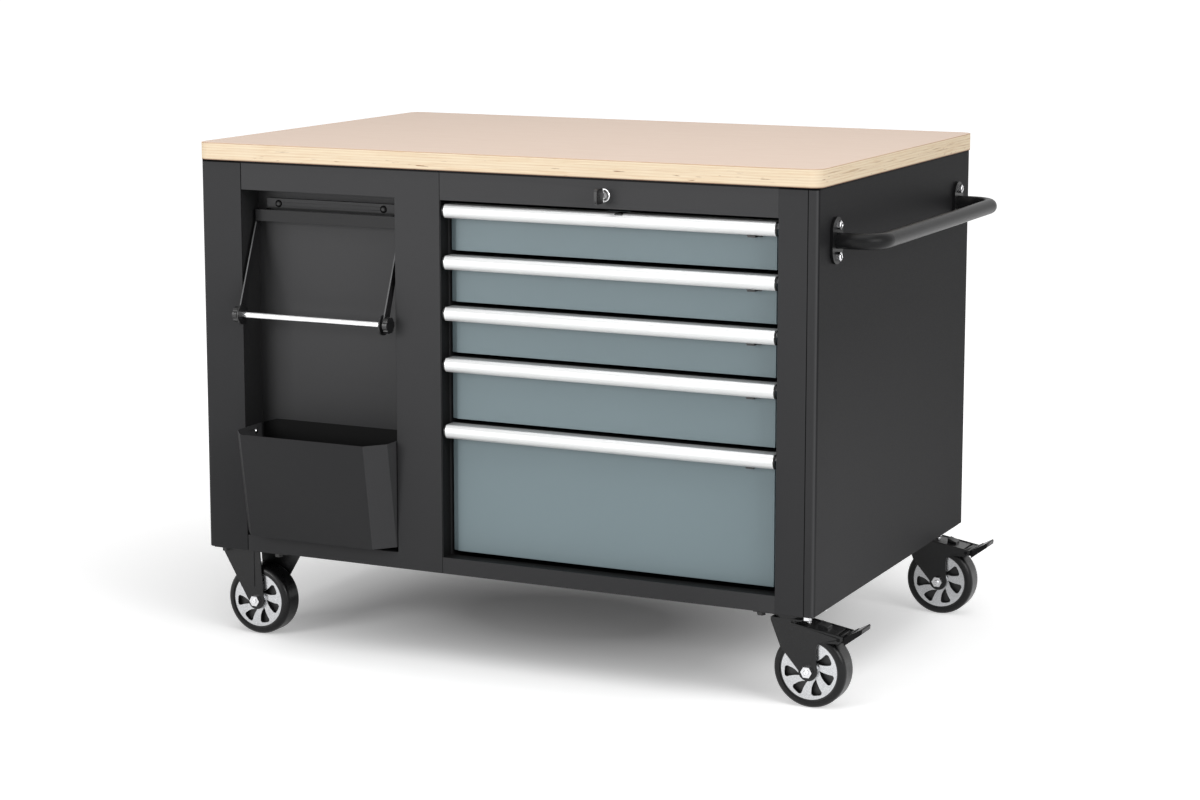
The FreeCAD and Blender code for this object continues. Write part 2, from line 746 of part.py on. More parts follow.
def drawer_body(index):
    """A hollow front, an open tray behind it and the inner runner member on each side."""
    piece = Piece("drawer_body_%d" % (index + 1))
    wall = s.drawer_sheet
    face = s.front_recess
    left = opening_left + s.front_side_gap
    right = opening_right - s.front_side_gap
    top = front_top(index)
    bottom = top - front_height(index)
    margin = s.front_margin
    back = face + s.front_depth
    set_back = face + s.front_step
    outer = [
        (left, back), (left, set_back), (left + margin, set_back), (left + margin, face),
        (right - margin, face), (right - margin, set_back), (right, set_back), (right, back),
    ]
    inner = [
        (left + wall, back - wall), (left + wall, set_back + wall),
        (left + margin + wall, set_back + wall), (left + margin + wall, face + wall),
        (right - margin - wall, face + wall), (right - margin - wall, set_back + wall),
        (right - wall, set_back + wall), (right - wall, back - wall),
    ]
    piece.pad("XY_Plane", bottom, [outer, inner], front_height(index) - wall)
    piece.pad("XY_Plane", top - wall, [outer], wall)
    floor = bottom + s.tray_lift
    rim = top - s.tray_drop
    rear = tray_front + s.tray_length
    shell = rectangle((tray_left, tray_right), (tray_front, rear))
    hollow = rectangle((tray_left + wall, tray_right - wall), (tray_front + wall, rear - wall))
    piece.pad("XY_Plane", floor, [shell, hollow], rim - floor)
    piece.pad("XY_Plane", floor, [shell], wall)
    for side in (1, -1):
        runner_member(piece, side, index, 2)
    slot_z = catch_slot_z(index)
    slot = rectangle(
        (catch_x() - s.catch_stud / 2 - s.catch_travel - 0.5, catch_x() + s.catch_stud / 2 + 0.5),
        (slot_z - 2.5, slot_z + 2.5))
    piece.pocket("XZ_Plane", face - wall, [slot], wall * 3)
    if index == 0:
        notch = rectangle(
            (lock_x - s.cam_width, lock_x + s.cam_length - 2),
            (face + wall, face + wall + s.cam_thickness + 4))
        piece.pocket("XY_Plane", top - wall * 2, [notch], wall * 3)
    return piece


def drawer_handle(index):
    """An extruded grip with a bulging front, open underneath for the fingers."""
    piece = Piece("drawer_handle_%d" % (index + 1))
    top = front_top(index)
    wall = s.handle_wall
    crest = s.handle_crest
    radius = (s.handle_height * s.handle_height / 4 + crest * crest) / (crest * 2)
    inner_radius = radius - wall
    reach = s.handle_height / 2 - wall
    inner_edge = radius - root(inner_radius * inner_radius - reach * reach)
    bottom = top - s.handle_height
    back = s.front_recess
    section = [
        (back, top), (crest, top, radius, "left"), (crest, bottom), (inner_edge + s.handle_lip, bottom),
        (inner_edge + s.handle_lip, bottom + wall), (inner_edge, bottom + wall, inner_radius, "right"),
        (inner_edge, top - wall), (back - wall, top - wall),
        (back - wall, top - s.handle_back), (back, top - s.handle_back),
    ]
    left = opening_left + s.handle_end_gap
    right = opening_right - s.handle_end_gap
    piece.pad("YZ_Plane", left, [section], right - left)
    if index == 0:
        mark = ("circle", lock_x + s.notch_offset, crest / 2, s.notch_radius)
        piece.pocket("XY_Plane", top - wall * 1.5, [mark], wall * 2)
    return piece


def drawer_catch(index):
    """A sliding catch: plate and finger tab in front of the drawer front, hook behind it."""
    name = "catch_%d" % (index + 1)
    top = front_top(index)
    play = 0.3
    face = s.front_recess - play
    inside = s.front_recess + s.drawer_sheet + play
    low_edge = top - s.handle_height - s.catch_drop
    high_edge = top - s.handle_back - 1
    slot_z = catch_slot_z(index)

    def across(width):
        return catch_x() - width / 2, catch_x() + width / 2

    plate = box(
        name + "_plate", across(s.catch_width), (face - s.catch_thickness, face), (low_edge, high_edge))
    tab = box(
        name + "_tab", across(s.catch_finger), (s.front_recess - s.catch_reach, face),
        (low_edge, low_edge + s.catch_thickness))
    stud = box(name + "_stud", across(s.catch_stud), (face, inside), (slot_z - 2, slot_z + 2))
    hook = box(
        name + "_hook", across(s.catch_stud * 2), (inside, inside + s.catch_thickness),
        (slot_z - 6, slot_z + 6))
    return fuse(name + "_body", [plate, tab, stud, hook])


# Lock


def turned(name, x, y, z, outline):
    """A turned piece whose axis runs along +Y from a point."""
    piece = Piece(name, x, y, z, TURNS["Y"])
    piece.revolve(outline)
    return piece


def lock_housing():
    """A threaded barrel with a front ring, bored for the plug."""
    bore = s.lock_plug + s.pivot_play
    outline = [
        (bore, -s.lock_rim), (s.lock_flange - 1, -s.lock_rim), (s.lock_flange, 1 - s.lock_rim),
        (s.lock_flange, as_size(0)), (s.lock_barrel, as_size(0)),
        (s.lock_barrel, s.front_recess), (bore, s.front_recess),
    ]
    return turned("lock_housing_body", lock_x, 0, lock_z, outline)


def cam_front():
    return s.front_recess + s.drawer_sheet + 0.8


def lock_plug():
    zero = as_size(0)
    back = cam_front()
    outline = [(zero, -s.lock_rim), (s.lock_plug, -s.lock_rim), (s.lock_plug, back), (zero, back)]
    return turned("lock_plug_body", lock_x, 0, lock_z, outline)


def lock_cam():
    """A flat tongue that points sideways when unlocked."""
    piece = Piece("lock_cam_body", lock_x, 0, lock_z)
    half = s.cam_width / 2
    outline = [
        (as_size(0), half), (-half, as_size(0)), (as_size(0), -half),
        (s.cam_length, -half), (s.cam_length, half),
    ]
    outline[0] = (as_size(0), half, half, "left")
    outline[1] = (-half, as_size(0), half, "left")
    piece.pad("XZ_Plane", cam_front(), [outline], s.cam_thickness)
    return piece


def lock_key():
    """The key in its slot: a short bare neck and an upright grip with a hole."""
    piece = Piece("lock_key_body", lock_x, 0, lock_z)
    half = s.key_head / 2
    near = -s.lock_rim
    neck_end = near - s.key_neck
    grip = rectangle((neck_end - s.key_head, neck_end), (-half, half))
    hole = ("circle", neck_end - s.key_head * 0.7, as_size(0), s.key_head * 0.12)
    piece.pad("YZ_Plane", s.key_thickness * -0.5, [grip, hole], s.key_thickness)
    piece.round(s.key_head / 4, lambda a, b: abs(a.x - b.x) > 1 and abs(a.y - b.y) < 1e-4)
    neck = rectangle((neck_end - 1, near), (s.key_head * -0.15, s.key_head * 0.15))
    piece.pad("YZ_Plane", s.key_blade * -0.5, [neck], s.key_blade)
    return piece


# Push handle


def push_handle():
    """A bent tube with a bolted foot plate at each end."""
    piece = Piece("push_handle_body", right_side, s.push_setback, push_z)
    zero = as_size(0)
    span = s.cabinet_depth - s.push_setback * 2
    reach = s.push_reach
    bend = s.push_bend
    path = piece.sketch("XY_Plane", 0, [])
    corners = [
        (zero, zero), (reach - bend, zero, bend, "left"), (reach, bend), (reach, span - bend, bend, "left"),
        (reach - bend, span), (zero, span),
    ]
    draw_path(path, corners)
    profile = piece.sketch("YZ_Plane", 0, [("circle", zero, zero, s.push_tube)])
    doc.recompute()
    tube = piece.body.newObject("PartDesign::AdditivePipe", "push_handle_tube")
    tube.Profile = profile
    tube.Spine = (path, ["Edge%d" % number_of for number_of in range(1, len(corners))])
    doc.recompute()
    half = s.foot_width / 2
    side = s.foot_height / 2 - half
    for middle in (zero, span):
        foot = [
            (middle + half, -side), (middle + half, side, half, "left"),
            (middle, s.foot_height / 2, half, "left"), (middle - half, side),
            (middle - half, -side, half, "left"), (middle, s.foot_height / -2, half, "left"),
        ]
        holes = [("circle", middle, s.foot_holes * end, s.bolt_radius + s.bolt_play) for end in (-0.5, 0.5)]
        piece.pad("YZ_Plane", 0, [foot] + holes, s.foot_plate)
    return piece


def draw_path(sketch, corners):
    """An open run of lines and arcs."""
    previous = None
    for index, corner in enumerate(corners[:-1]):
        following = corners[index + 1]
        first = Vector(number(corner[0]), number(corner[1]), 0)
        last = Vector(number(following[0]), number(following[1]), 0)
        if len(corner) == 2:
            geometry = sketch.addGeometry(Part.LineSegment(first, last))
        else:
            geometry = sketch.addGeometry(arc_between(first, last, number(corner[2]), corner[3]))
            constrain(sketch, "Radius", (geometry,), corner[2])
        constrain(sketch, "DistanceX", (-1, 1, geometry, 1), corner[0])
        constrain(sketch, "DistanceY", (-1, 1, geometry, 1), corner[1])
        if previous is not None:
            sketch.addConstraint(Sketcher.Constraint("Coincident", previous, 2, geometry, 1))
        previous = geometry
    constrain(sketch, "DistanceX", (-1, 1, previous, 2), corners[-1][0])
    constrain(sketch, "DistanceY", (-1, 1, previous, 2), corners[-1][1])


# Hex bolts of the push handle and of the casters


def bolt(name, x, y, z, axis, grip):
    """Head, shank and nut along +X or +Z: the head ends at the point, the nut begins after the grip."""
    before = {"X": (s.bolt_head_height, 0, 0), "Z": (0, 0, s.bolt_head_height)}[axis]
    after = {"X": (grip, 0, 0), "Z": (0, 0, grip)}[axis]
    head = hexagon(
        name + "_head", x - before[0], y - before[1], z - before[2], axis, s.bolt_head, s.bolt_head_height)
    shank = cylinder(
        name + "_shank", x, y, z, axis, s.bolt_radius, grip + s.bolt_nut_height + 2)
    nut = hexagon(
        name + "_nut", x + after[0], y + after[1], z + after[2], axis, s.bolt_head, s.bolt_nut_height)
    return fuse(name, [head, shank, nut])


def caster_spots():
    """Plate centre and bolt spacing of each caster."""
    spots = []
    for y in (s.caster_setback, rear_wheel_y):
        spots.append((rigid_x, y, s.rigid_holes))
        spots.append((swivel_x, y, s.swivel_holes))
    return spots


def frame_bolts():
    bolts = []
    for row, y in enumerate((s.push_setback, s.cabinet_depth - s.push_setback)):
        for column, end in enumerate((-0.5, 0.5)):
            name = "push_bolt_%d%d" % (row, column)
            start = right_side + s.foot_plate
            outside = hexagon(
                name + "_head", start, y, push_z + s.foot_holes * end, "X", s.bolt_head, s.bolt_head_height)
            inside = right_side - s.sheet - s.bolt_nut_height
            shank = cylinder(
                name + "_shank", inside - 2, y, push_z + s.foot_holes * end, "X", s.bolt_radius,
                start - inside + 2)
            nut = hexagon(
                name + "_nut", inside, y, push_z + s.foot_holes * end, "X", s.bolt_head, s.bolt_nut_height)
            bolts.append(fuse(name, [outside, shank, nut]))
    for number_of, (x, y, spacing) in enumerate(caster_spots()):
        for i in (-0.5, 0.5):
            for j in (-0.5, 0.5):
                name = "plate_bolt_%d_%d" % (number_of, int(i * 4 + j * 2 + 3))
                bolts.append(bolt(
                    name, x + spacing * i, y + s.plate_hole_depth * j, plate_low, "Z",
                    s.plate_thickness + s.sheet))
    return group("frame_bolts_group", bolts)


# Paper roll holder


def bracket_screws():
    z = opening_high - s.bracket_drop - s.bracket_height / 2
    return [(niche_middle - s.screw_spacing / 2, z), (niche_middle + s.screw_spacing / 2, z)]


def roll_bracket():
    """A channel on the niche's back with an ear at each end for the hanger's pivot."""
    piece = Piece("roll_bracket_body")
    wall = s.bracket_sheet
    high_edge = opening_high - s.bracket_drop
    low_edge = high_edge - s.bracket_height
    left = niche_middle - s.bracket_width / 2
    right = niche_middle + s.bracket_width / 2
    face = s.niche_depth - s.bracket_standoff
    section = [
        (face, low_edge), (s.niche_depth, low_edge), (s.niche_depth, low_edge + wall),
        (face + wall, low_edge + wall), (face + wall, high_edge - wall),
        (s.niche_depth, high_edge - wall), (s.niche_depth, high_edge), (face, high_edge),
    ]
    piece.pad("YZ_Plane", left, [section], right - left)
    r = s.ear_radius
    ear = [
        (s.niche_depth, pivot_z - r), (s.niche_depth, high_edge - wall), (face + wall / 2, high_edge - wall),
        (face + wall / 2, low_edge + wall / 2), (s.pivot_depth, pivot_z + r, r, "left"),
        (s.pivot_depth - r, pivot_z), (s.pivot_depth - r, pivot_z - r),
    ]
    hole = ("circle", s.pivot_depth, pivot_z, s.pivot_pin + s.pivot_play)
    for start in (left, right - wall):
        piece.pad("YZ_Plane", start, [ear, hole], wall)
    holes = [("circle", x, z, s.screw_shank + s.screw_play) for x, z in bracket_screws()]
    piece.pocket("XZ_Plane", face - wall, holes, wall * 3)
    return piece


def roll_hanger():
    """A strip over the bracket's ears, an arm at each end and the pins that it swings on."""
    piece = Piece("roll_hanger_body")
    sheet = s.hanger_sheet
    left = niche_middle - s.hanger_width / 2
    right = niche_middle + s.hanger_width / 2
    front = s.pivot_depth - s.ear_radius - s.hanger_gap - sheet
    high = pivot_z + s.strip_above
    low = high - s.hanger_strip
    strip = rectangle((left, right), (low, high))
    piece.pad("XZ_Plane", front, [strip], sheet)
    width = s.arm_width / 2
    lobe = s.bar_radius + 4
    arm = [
        (front, low), (-s.bar_forward - lobe, bar_z, lobe, "left"),
        (-s.bar_forward, bar_z - lobe, lobe, "left"), (-s.bar_forward + lobe, bar_z),
        (s.pivot_depth + width, low), (s.pivot_depth + width, high), (front, high),
    ]
    bar_hole = ("circle", -s.bar_forward, bar_z, s.bar_radius + s.pivot_play)
    for start in (left, right - sheet):
        piece.pad("YZ_Plane", start, [arm, bar_hole], sheet)
    inner_left = niche_middle - s.bracket_width / 2 + s.bracket_sheet
    inner_right = niche_middle + s.bracket_width / 2 - s.bracket_sheet
    pin = ("circle", s.pivot_depth, pivot_z, s.pivot_pin)
    piece.pad("YZ_Plane", left + sheet / 2, [pin], inner_left + 2 - left - sheet / 2)
    piece.pad("YZ_Plane", inner_right - 2, [pin], right - sheet / 2 - inner_right + 2)
    return piece


def bar_ends():
    reach = s.hanger_width / 2 + s.bar_play
    return niche_middle - reach, niche_middle + reach


def roll_bar():
    left, right = bar_ends()
    return cylinder("roll_bar_rod", left, -s.bar_forward, bar_z, "X", s.bar_radius, right - left)


def roll_knobs():
    """A star knob outside each arm of the hanger and a disc inside it, all on the bar."""
    knobs = []
    for side, end in zip((-1, 1), bar_ends()):
        turn = Rotation(Vector(0, 1, 0), 90 * side)
        tag = "left" if side < 0 else "right"
        zero = as_size(0)
        knob = Piece("roll_knob_" + tag, end, -s.bar_forward, bar_z, turn)
        knob.pad("XY_Plane", 0, [("circle", zero, zero, s.knob_radius)], s.knob_length)
        groove = ("circle", s.knob_radius + s.knob_groove / 2, zero, s.knob_groove)
        feature = knob.pocket("XY_Plane", 0, [groove], s.knob_length)
        knob.polar(feature, KNOB_GROOVES)
        disc = Piece("roll_disc_" + tag, end, -s.bar_forward, bar_z, turn)
        outer = s.bar_play * 2 + s.hanger_sheet
        ring = [("circle", zero, zero, s.disc_radius), ("circle", zero, zero, s.bar_radius)]
        disc.pad("XY_Plane", -outer - s.disc_thickness, ring, s.disc_thickness)
        knobs += [knob.body, disc.body]
    return group("roll_knobs_group", knobs)


# Bin


def bin_left():
    return niche_left + s.bin_side_gap


def bin_right():
    return niche_right - s.bin_side_gap


def bin_low():
    return opening_low + s.bin_lift


def bin_screw_y():
    return s.niche_depth / 2


def bin_screw_z():
    return bin_low() + s.bin_height - 12


def bin_screw_hole():
    return ("circle", bin_screw_y(), bin_screw_z(), s.screw_shank + s.screw_play)


def bin_outline(reach, inset):
    """The plan of the bin, with a slanted corner on each side of the front."""
    left = bin_left() + inset
    right = bin_right() - inset
    back = s.niche_depth - inset
    front = inset - reach
    shoulder = front + s.bin_facet_depth - inset * 0.5
    corner = s.bin_facet_width - inset * 0.4
    return [
        (left, back), (left, shoulder), (left + corner, front), (right - corner, front),
        (right, shoulder), (right, back),
    ]


def waste_bin():
    """A hopper folded from sheet metal, wider at the top than at the foot."""
    piece = Piece("waste_bin_body")
    wall = s.bin_sheet
    top = bin_low() + s.bin_height
    zero = as_size(0)
    outer = [
        piece.sketch("XY_Plane", bin_low(), [bin_outline(s.bin_foot_reach, zero)]),
        piece.sketch("XY_Plane", top, [bin_outline(s.bin_reach, zero)]),
    ]
    slope = (s.bin_reach - s.bin_foot_reach) / s.bin_height
    inner = [
        piece.sketch("XY_Plane", bin_low() + wall, [bin_outline(s.bin_foot_reach + slope * wall, wall)]),
        piece.sketch("XY_Plane", top, [bin_outline(s.bin_reach, wall)]),
    ]
    for kind, (first, last) in (("PartDesign::AdditiveLoft", outer), ("PartDesign::SubtractiveLoft", inner)):
        loft = piece.body.newObject(kind, piece.label("loft"))
        loft.Profile = first
        loft.Sections = [last]
        loft.Ruled = True
        doc.recompute()
    rise = [
        (bin_left(), top), (bin_right(), top), (bin_right() - s.bin_back_slope, top + s.bin_back_rise),
        (bin_left() + s.bin_back_slope, top + s.bin_back_rise),
    ]
    piece.pad("XZ_Plane", s.niche_depth - wall, [rise], wall)
    piece.pocket("YZ_Plane", bin_left() - wall, [bin_screw_hole()], wall * 3)
    piece.pocket("YZ_Plane", bin_right() - wall * 2, [bin_screw_hole()], wall * 3)
    return piece


def screw(name, x, y, z, axis, sign):
    """A pan head screw: the head's flat side lies at the point and the shank runs on."""
    rotation = {
        ("Y", 1): Rotation(Vector(1, 0, 0), -90),
        ("X", 1): Rotation(Vector(0, 1, 0), 90),
        ("X", -1): Rotation(Vector(0, 1, 0), -90),
    }[(axis, sign)]
    piece = Piece(name, x, y, z, rotation)
    zero = as_size(0)
    edge = s.screw_head_height * 0.45
    outline = [
        (zero, -s.screw_head_height), (s.screw_head * 0.6, -s.screw_head_height), (s.screw_head, -edge),
        (s.screw_head, zero), (s.screw_shank, zero), (s.screw_shank, s.screw_length), (zero, s.screw_length),
    ]
    piece.revolve(outline)
    return piece.body


def panel_screws():
    face = s.niche_depth - s.bracket_standoff
    screws = [screw("bracket_screw_%d" % i, x, face, z, "Y", 1) for i, (x, z) in enumerate(bracket_screws())]
    left = bin_left() + s.bin_sheet
    right = bin_right() - s.bin_sheet
    screws.append(screw("bin_screw_left", left, bin_screw_y(), bin_screw_z(), "X", -1))
    screws.append(screw("bin_screw_right", right, bin_screw_y(), bin_screw_z(), "X", 1))
    return group("panel_screws_group", screws)


# Casters


def leg_end(x, z, radius):
    """The rounded end of a leg below the axle, as two quarter arcs from left to right."""
    return [(x - radius, z, radius, "left"), (x, z - radius, radius, "left"), (x + radius, z)]


def axle_hole(x):
    return ("circle", x, s.wheel_radius, s.axle_radius + 0.1)


def rigid_fork(name, y):
    """A folded bracket: the front leg leans from the left, and the rear leg from the right."""
    piece = Piece(name, rigid_x, y, 0)
    zero = as_size(0)
    half_x = s.rigid_plate / 2
    half_y = s.plate_depth / 2
    holes = plate_holes(zero, zero, s.rigid_holes, s.bolt_radius + s.bolt_play)
    plate = rectangle((-half_x, half_x), (-half_y, half_y))
    piece.pad("XY_Plane", plate_low, [plate] + holes, s.plate_thickness)
    z = s.wheel_radius
    for side in (-1, 1):
        end = leg_end(zero, z, s.leg_round)
        leg = [(s.rigid_leg_top * side, plate_low + 1), (s.rigid_leg_top * side, plate_low - s.bend)]
        if side < 0:
            leg += end + [(s.rigid_leg_edge, plate_low + 1)]
        else:
            inner = s.rigid_leg_edge * -1 - s.rigid_leg_inner
            leg = [(inner, plate_low + 1)] + end + leg[::-1]
        start = -leg_outside if side < 0 else leg_inside
        piece.pad("XZ_Plane", start, [leg, axle_hole(zero)], s.leg_thickness)
    rib_low = z + s.leg_round * 1.6
    for side in (-1, 1):
        flanks = sorted((s.rigid_leg_edge * side * 0.2, s.rigid_leg_top * 0.35 * side), key=number)
        rib = rectangle(flanks, (rib_low, plate_low + 1))
        start = -leg_outside - 1.5 if side < 0 else leg_outside - 0.5
        piece.pad("XZ_Plane", start, [rib], as_size(2))
    return piece.body


def axle_bolt(name, x, y):
    """A bolt through both legs and the hub, with its head in front and its nut behind."""
    front = y - leg_outside
    length = leg_outside * 2
    height = s.axle_head_height
    head = hexagon(name + "_head", x, front - height, s.wheel_radius, "Y", s.axle_head, height)
    shank = cylinder(name + "_shank", x, front, s.wheel_radius, "Y", s.axle_radius, length + height + 3)
    nut = hexagon(name + "_nut", x, front + length, s.wheel_radius, "Y", s.axle_head, height)
    return fuse(name + "_fused", [head, shank, nut])


def swivel_plate(name, y):
    """The bolted plate with the bearing and the kingpin under it."""
    piece = Piece(name, swivel_x, y, 0)
    zero = as_size(0)
    half_x = s.swivel_plate / 2
    half_y = s.plate_depth / 2
    holes = plate_holes(zero, zero, s.swivel_holes, s.bolt_radius + s.bolt_play)
    plate = rectangle((-half_x, half_x), (-half_y, half_y))
    piece.pad("XY_Plane", plate_low, [plate] + holes, s.plate_thickness)
    piece.pad("XY_Plane", race_low, [("circle", zero, zero, s.race_radius)], s.race_height)
    nut_low = head_high - s.head_thickness - s.swivel_play - 5
    piece.pad("XY_Plane", nut_low, [("circle", zero, zero, s.kingpin_radius)], race_low - nut_low)
    piece.pad("XY_Plane", nut_low, [("circle", zero, zero, s.kingpin_radius + 4)], as_size(5))
    return piece.body


def swivel_fork(name, y):
    """A pressed fork that trails behind the kingpin, with arms that carry the pedal."""
    piece = Piece(name, swivel_x, y, 0)
    zero = as_size(0)
    z = s.wheel_radius
    trail = s.trail
    shoulder = head_high - s.head_thickness
    arm_top = s.arm_end_height + 4
    leg = [
        (-s.head_reach, head_high), (-s.head_reach, shoulder - 2),
        (s.head_reach * -0.37, z + s.leg_round * 2.3),
        (trail - s.leg_round, z, s.leg_round, "left"), (trail, z - s.leg_round, s.leg_round, "left"),
        (trail + s.leg_round, z), (trail + s.leg_round - 2, s.arm_end_height - 24),
        (trail + s.leg_round, s.arm_end_height - 13), (trail + s.leg_round + 6, s.arm_end_height - 9),
        (s.arm_reach - 8, s.arm_end_height - 8), (s.arm_reach, s.arm_end_height - 1),
        (s.arm_reach, arm_top), (s.head_reach * 0.33, shoulder - 3), (s.head_reach * 0.33, head_high),
    ]
    pin_hole = ("circle", s.arm_reach - 8, s.arm_end_height - 1, s.pedal_pin + s.pivot_play)
    for start in (-leg_outside, leg_inside):
        piece.pad("XZ_Plane", start, [leg, axle_hole(trail), pin_hole], s.leg_thickness)
    reach = s.head_reach
    head = rectangle((-reach, reach), (-leg_outside, leg_outside))
    bore = ("circle", zero, zero, s.kingpin_radius + s.axle_play)
    piece.pad("XY_Plane", shoulder, [head, bore], s.head_thickness)
    web_end = s.arm_reach - 14
    sheet = s.head_thickness
    start = s.kingpin_radius + sheet + 5.5
    web = [
        (start - sheet, shoulder + 1), (start - sheet, shoulder - sheet - 5.5),
        (web_end, arm_top - sheet + 1), (web_end, arm_top + 1), (start, shoulder - 5.5),
        (start, shoulder + 1),
    ]
    piece.pad("XZ_Plane", -leg_inside - 1, [web], (leg_inside + 1) * 2)
    middle = start + (web_end - start) * 0.62
    saddle = [
        (middle - 9, arm_top + 1), (middle + 9, arm_top), (middle + 8, arm_top + 9),
        (middle - 8, arm_top + 15),
    ]
    piece.pad("XZ_Plane", s.saddle_width * -0.5, [saddle], s.saddle_width)
    return piece.body


def brake_pedal(name, y):
    """A tapered foot pedal on a pin between the fork's arms."""
    pivot_x = s.arm_reach - 8
    pivot_z_low = s.arm_end_height - 1
    piece = Piece(name, swivel_x + pivot_x, y, pivot_z_low)
    zero = as_size(0)
    half = s.pedal_root_width / 2
    piece.pad("XZ_Plane", -half, [("circle", zero, zero, s.pedal_boss)], s.pedal_root_width)
    boss = s.pedal_boss
    tip = s.pedal_length
    rise = s.pedal_rise
    thick = s.pedal_thickness
    root_x = boss + 4
    tongue = [
        (-boss * 0.5, -thick * 0.7), (root_x + 1, -thick), (root_x + 1, thick * 0.7),
        (-boss * 0.5, thick * 0.7),
    ]
    piece.pad("XZ_Plane", -half, [tongue], s.pedal_root_width)
    wedge = [
        (root_x, -thick * 1.3), (tip, rise - thick * 1.25), (tip + 1, rise - 1.5), (tip - 1, rise),
        (root_x, thick * 0.8),
    ]
    flank = s.pedal_wide / 2
    piece.pad("XZ_Plane", -flank, [wedge], s.pedal_wide)
    for side in (-1, 1):
        edge = flank * side
        tip_edge = s.pedal_tip_width / 2 * side
        outside = edge + 2 * side
        corner = [(root_x + 3, edge), (tip + 3, tip_edge), (tip + 3, outside), (root_x + 3, outside)]
        piece.pocket("XY_Plane", -thick * 2, [corner], rise + thick * 4)
    pin = ("circle", zero, zero, s.pedal_pin)
    piece.pad("XZ_Plane", -leg_outside, [pin], leg_outside * 2)
    return piece.body


def tyre(name, x, y):
    """A soft tread with rounded shoulders."""
    piece = Piece(name, x, y, s.wheel_radius, TURNS["Y"])
    half = s.wheel_width / 2
    r = s.tyre_round
    outline = [
        (s.tyre_inner, -half), (s.wheel_radius - r, -half, r, "left"), (s.wheel_radius, r - half),
        (s.wheel_radius, half - r, r, "left"), (s.wheel_radius - r, half), (s.tyre_inner, half),
    ]
    piece.revolve(outline)
    return piece.body


def window_outline(side):
    """A window that is narrow at the hub, wide at the rim and swept to one side."""
    corners = []
    for reach, angle, bend, bulge in WINDOW_CORNERS:
        turn = math.radians(angle * side)
        spot = (s.window_outer * (reach * math.cos(turn)), s.window_outer * (reach * math.sin(turn)))
        corners.append((*spot, s.window_outer * bend, "right" if side * bulge > 0 else "left"))
    return corners


def wheel(name, x, y):
    """The wheel's core: a dished face with seven swept windows on each side."""
    piece = Piece(name, x, y, s.wheel_radius, TURNS["Y"])
    face = s.wheel_width / 2 - s.disc_dish
    hub = leg_inside - s.hub_play
    bore = s.axle_radius + s.axle_play
    outline = [
        (bore, -hub), (s.hub_radius, -hub), (s.hub_radius, -face), (s.tyre_inner, -face),
        (s.tyre_inner, face), (s.hub_radius, face), (s.hub_radius, hub), (bore, hub),
    ]
    piece.revolve(outline)
    for start, side in ((-face, 1), (face - s.web_depth, -1)):
        piece.polar(piece.pocket("XY_Plane", start, [window_outline(side)], s.web_depth), WINDOWS)
    return piece.body


# Assembly

node("worktop", worktop())
node("left_side_panel", side_panel("left_side_panel_body", as_size(0), 1, niche_left))
node("right_side_panel", push_holes(side_panel("right_side_panel_body", right_side, -1, opening_right)))
node("niche_frame", niche_frame())
node("drawer_frame", drawer_frame())
node("divider_panel", runner_wall("divider_panel_body", opening_left, -1))
node("inner_wall", runner_wall("inner_wall_body", opening_right, 1))
node("back_panel", back_panel())
node("floor_panel", floor_panel())
node("niche_liner", niche_liner())

channels = []
for number_of in range(DRAWERS):
    channels += runner_pair("slide_channel_%d" % (number_of + 1), number_of, 0)
node("slide_channels", group("slide_channels_group", channels))

for number_of in range(DRAWERS):
    tag = "_%d" % (number_of + 1)
    node("drawer" + tag, drawer_body(number_of))
    node("handle" + tag, drawer_handle(number_of))
    node("catch" + tag, drawer_catch(number_of))
    pair = runner_pair("middle_slide" + tag, number_of, 1)
    node("middle_slides" + tag, group("middle_slides_group" + tag, pair))

node("lock_housing", lock_housing())
node("lock_plug", lock_plug())
node("lock_cam", lock_cam())
node("lock_key", lock_key())
node("push_handle", push_handle())
node("frame_bolts", frame_bolts())
node("roll_bracket", roll_bracket())
node("roll_hanger", roll_hanger())
node("roll_bar", roll_bar())
node("roll_knobs", roll_knobs())
node("waste_bin", waste_bin())
node("panel_screws", panel_screws())

ends = (("front", s.caster_setback), ("rear", rear_wheel_y))
node("rigid_forks", group("rigid_forks_group", [rigid_fork("rigid_fork_" + end, y) for end, y in ends]))
axles = [axle_bolt("rigid_axle_" + end, rigid_x, y) for end, y in ends]
node("rigid_axle_bolts", group("rigid_axles_group", axles))
plates = [swivel_plate("swivel_plate_" + end, y) for end, y in ends]
node("swivel_plates", group("swivel_plates_group", plates))
for end, y in ends:
    node("swivel_fork_" + end, swivel_fork("swivel_fork_body_" + end, y))
    node("swivel_axle_bolt_" + end, axle_bolt("swivel_axle_" + end, swivel_x + s.trail, y))
    node("brake_pedal_" + end, brake_pedal("brake_pedal_body_" + end, y))
    for side, x in (("left", rigid_x), ("right", swivel_x + s.trail)):
        node("tyre_" + end + "_" + side, tyre("tyre_body_" + end + "_" + side, x, y))
        node("wheel_" + end + "_" + side, wheel("wheel_body_" + end + "_" + side, x, y))

# Check and export

doc.recompute()
faults = []
for obj in doc.Objects:
    if "Invalid" in obj.State or "Error" in obj.State:
        faults.append(obj.Name + " failed to compute")
for obj in nodes:
    if obj.Shape.isNull() or not obj.Shape.isValid() or not obj.Shape.Solids:
        faults.append(obj.Label + " has no valid solid")
if faults:
    raise RuntimeError("; ".join(faults))

os.makedirs("parts", exist_ok=True)
for obj in nodes:
    obj.Shape.exportStep("parts/" + obj.Label + ".step")
print(len(nodes), "nodes written")
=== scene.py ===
import math

import bmesh
import bpy
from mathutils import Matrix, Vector
from mathutils.bvhtree import BVHTree

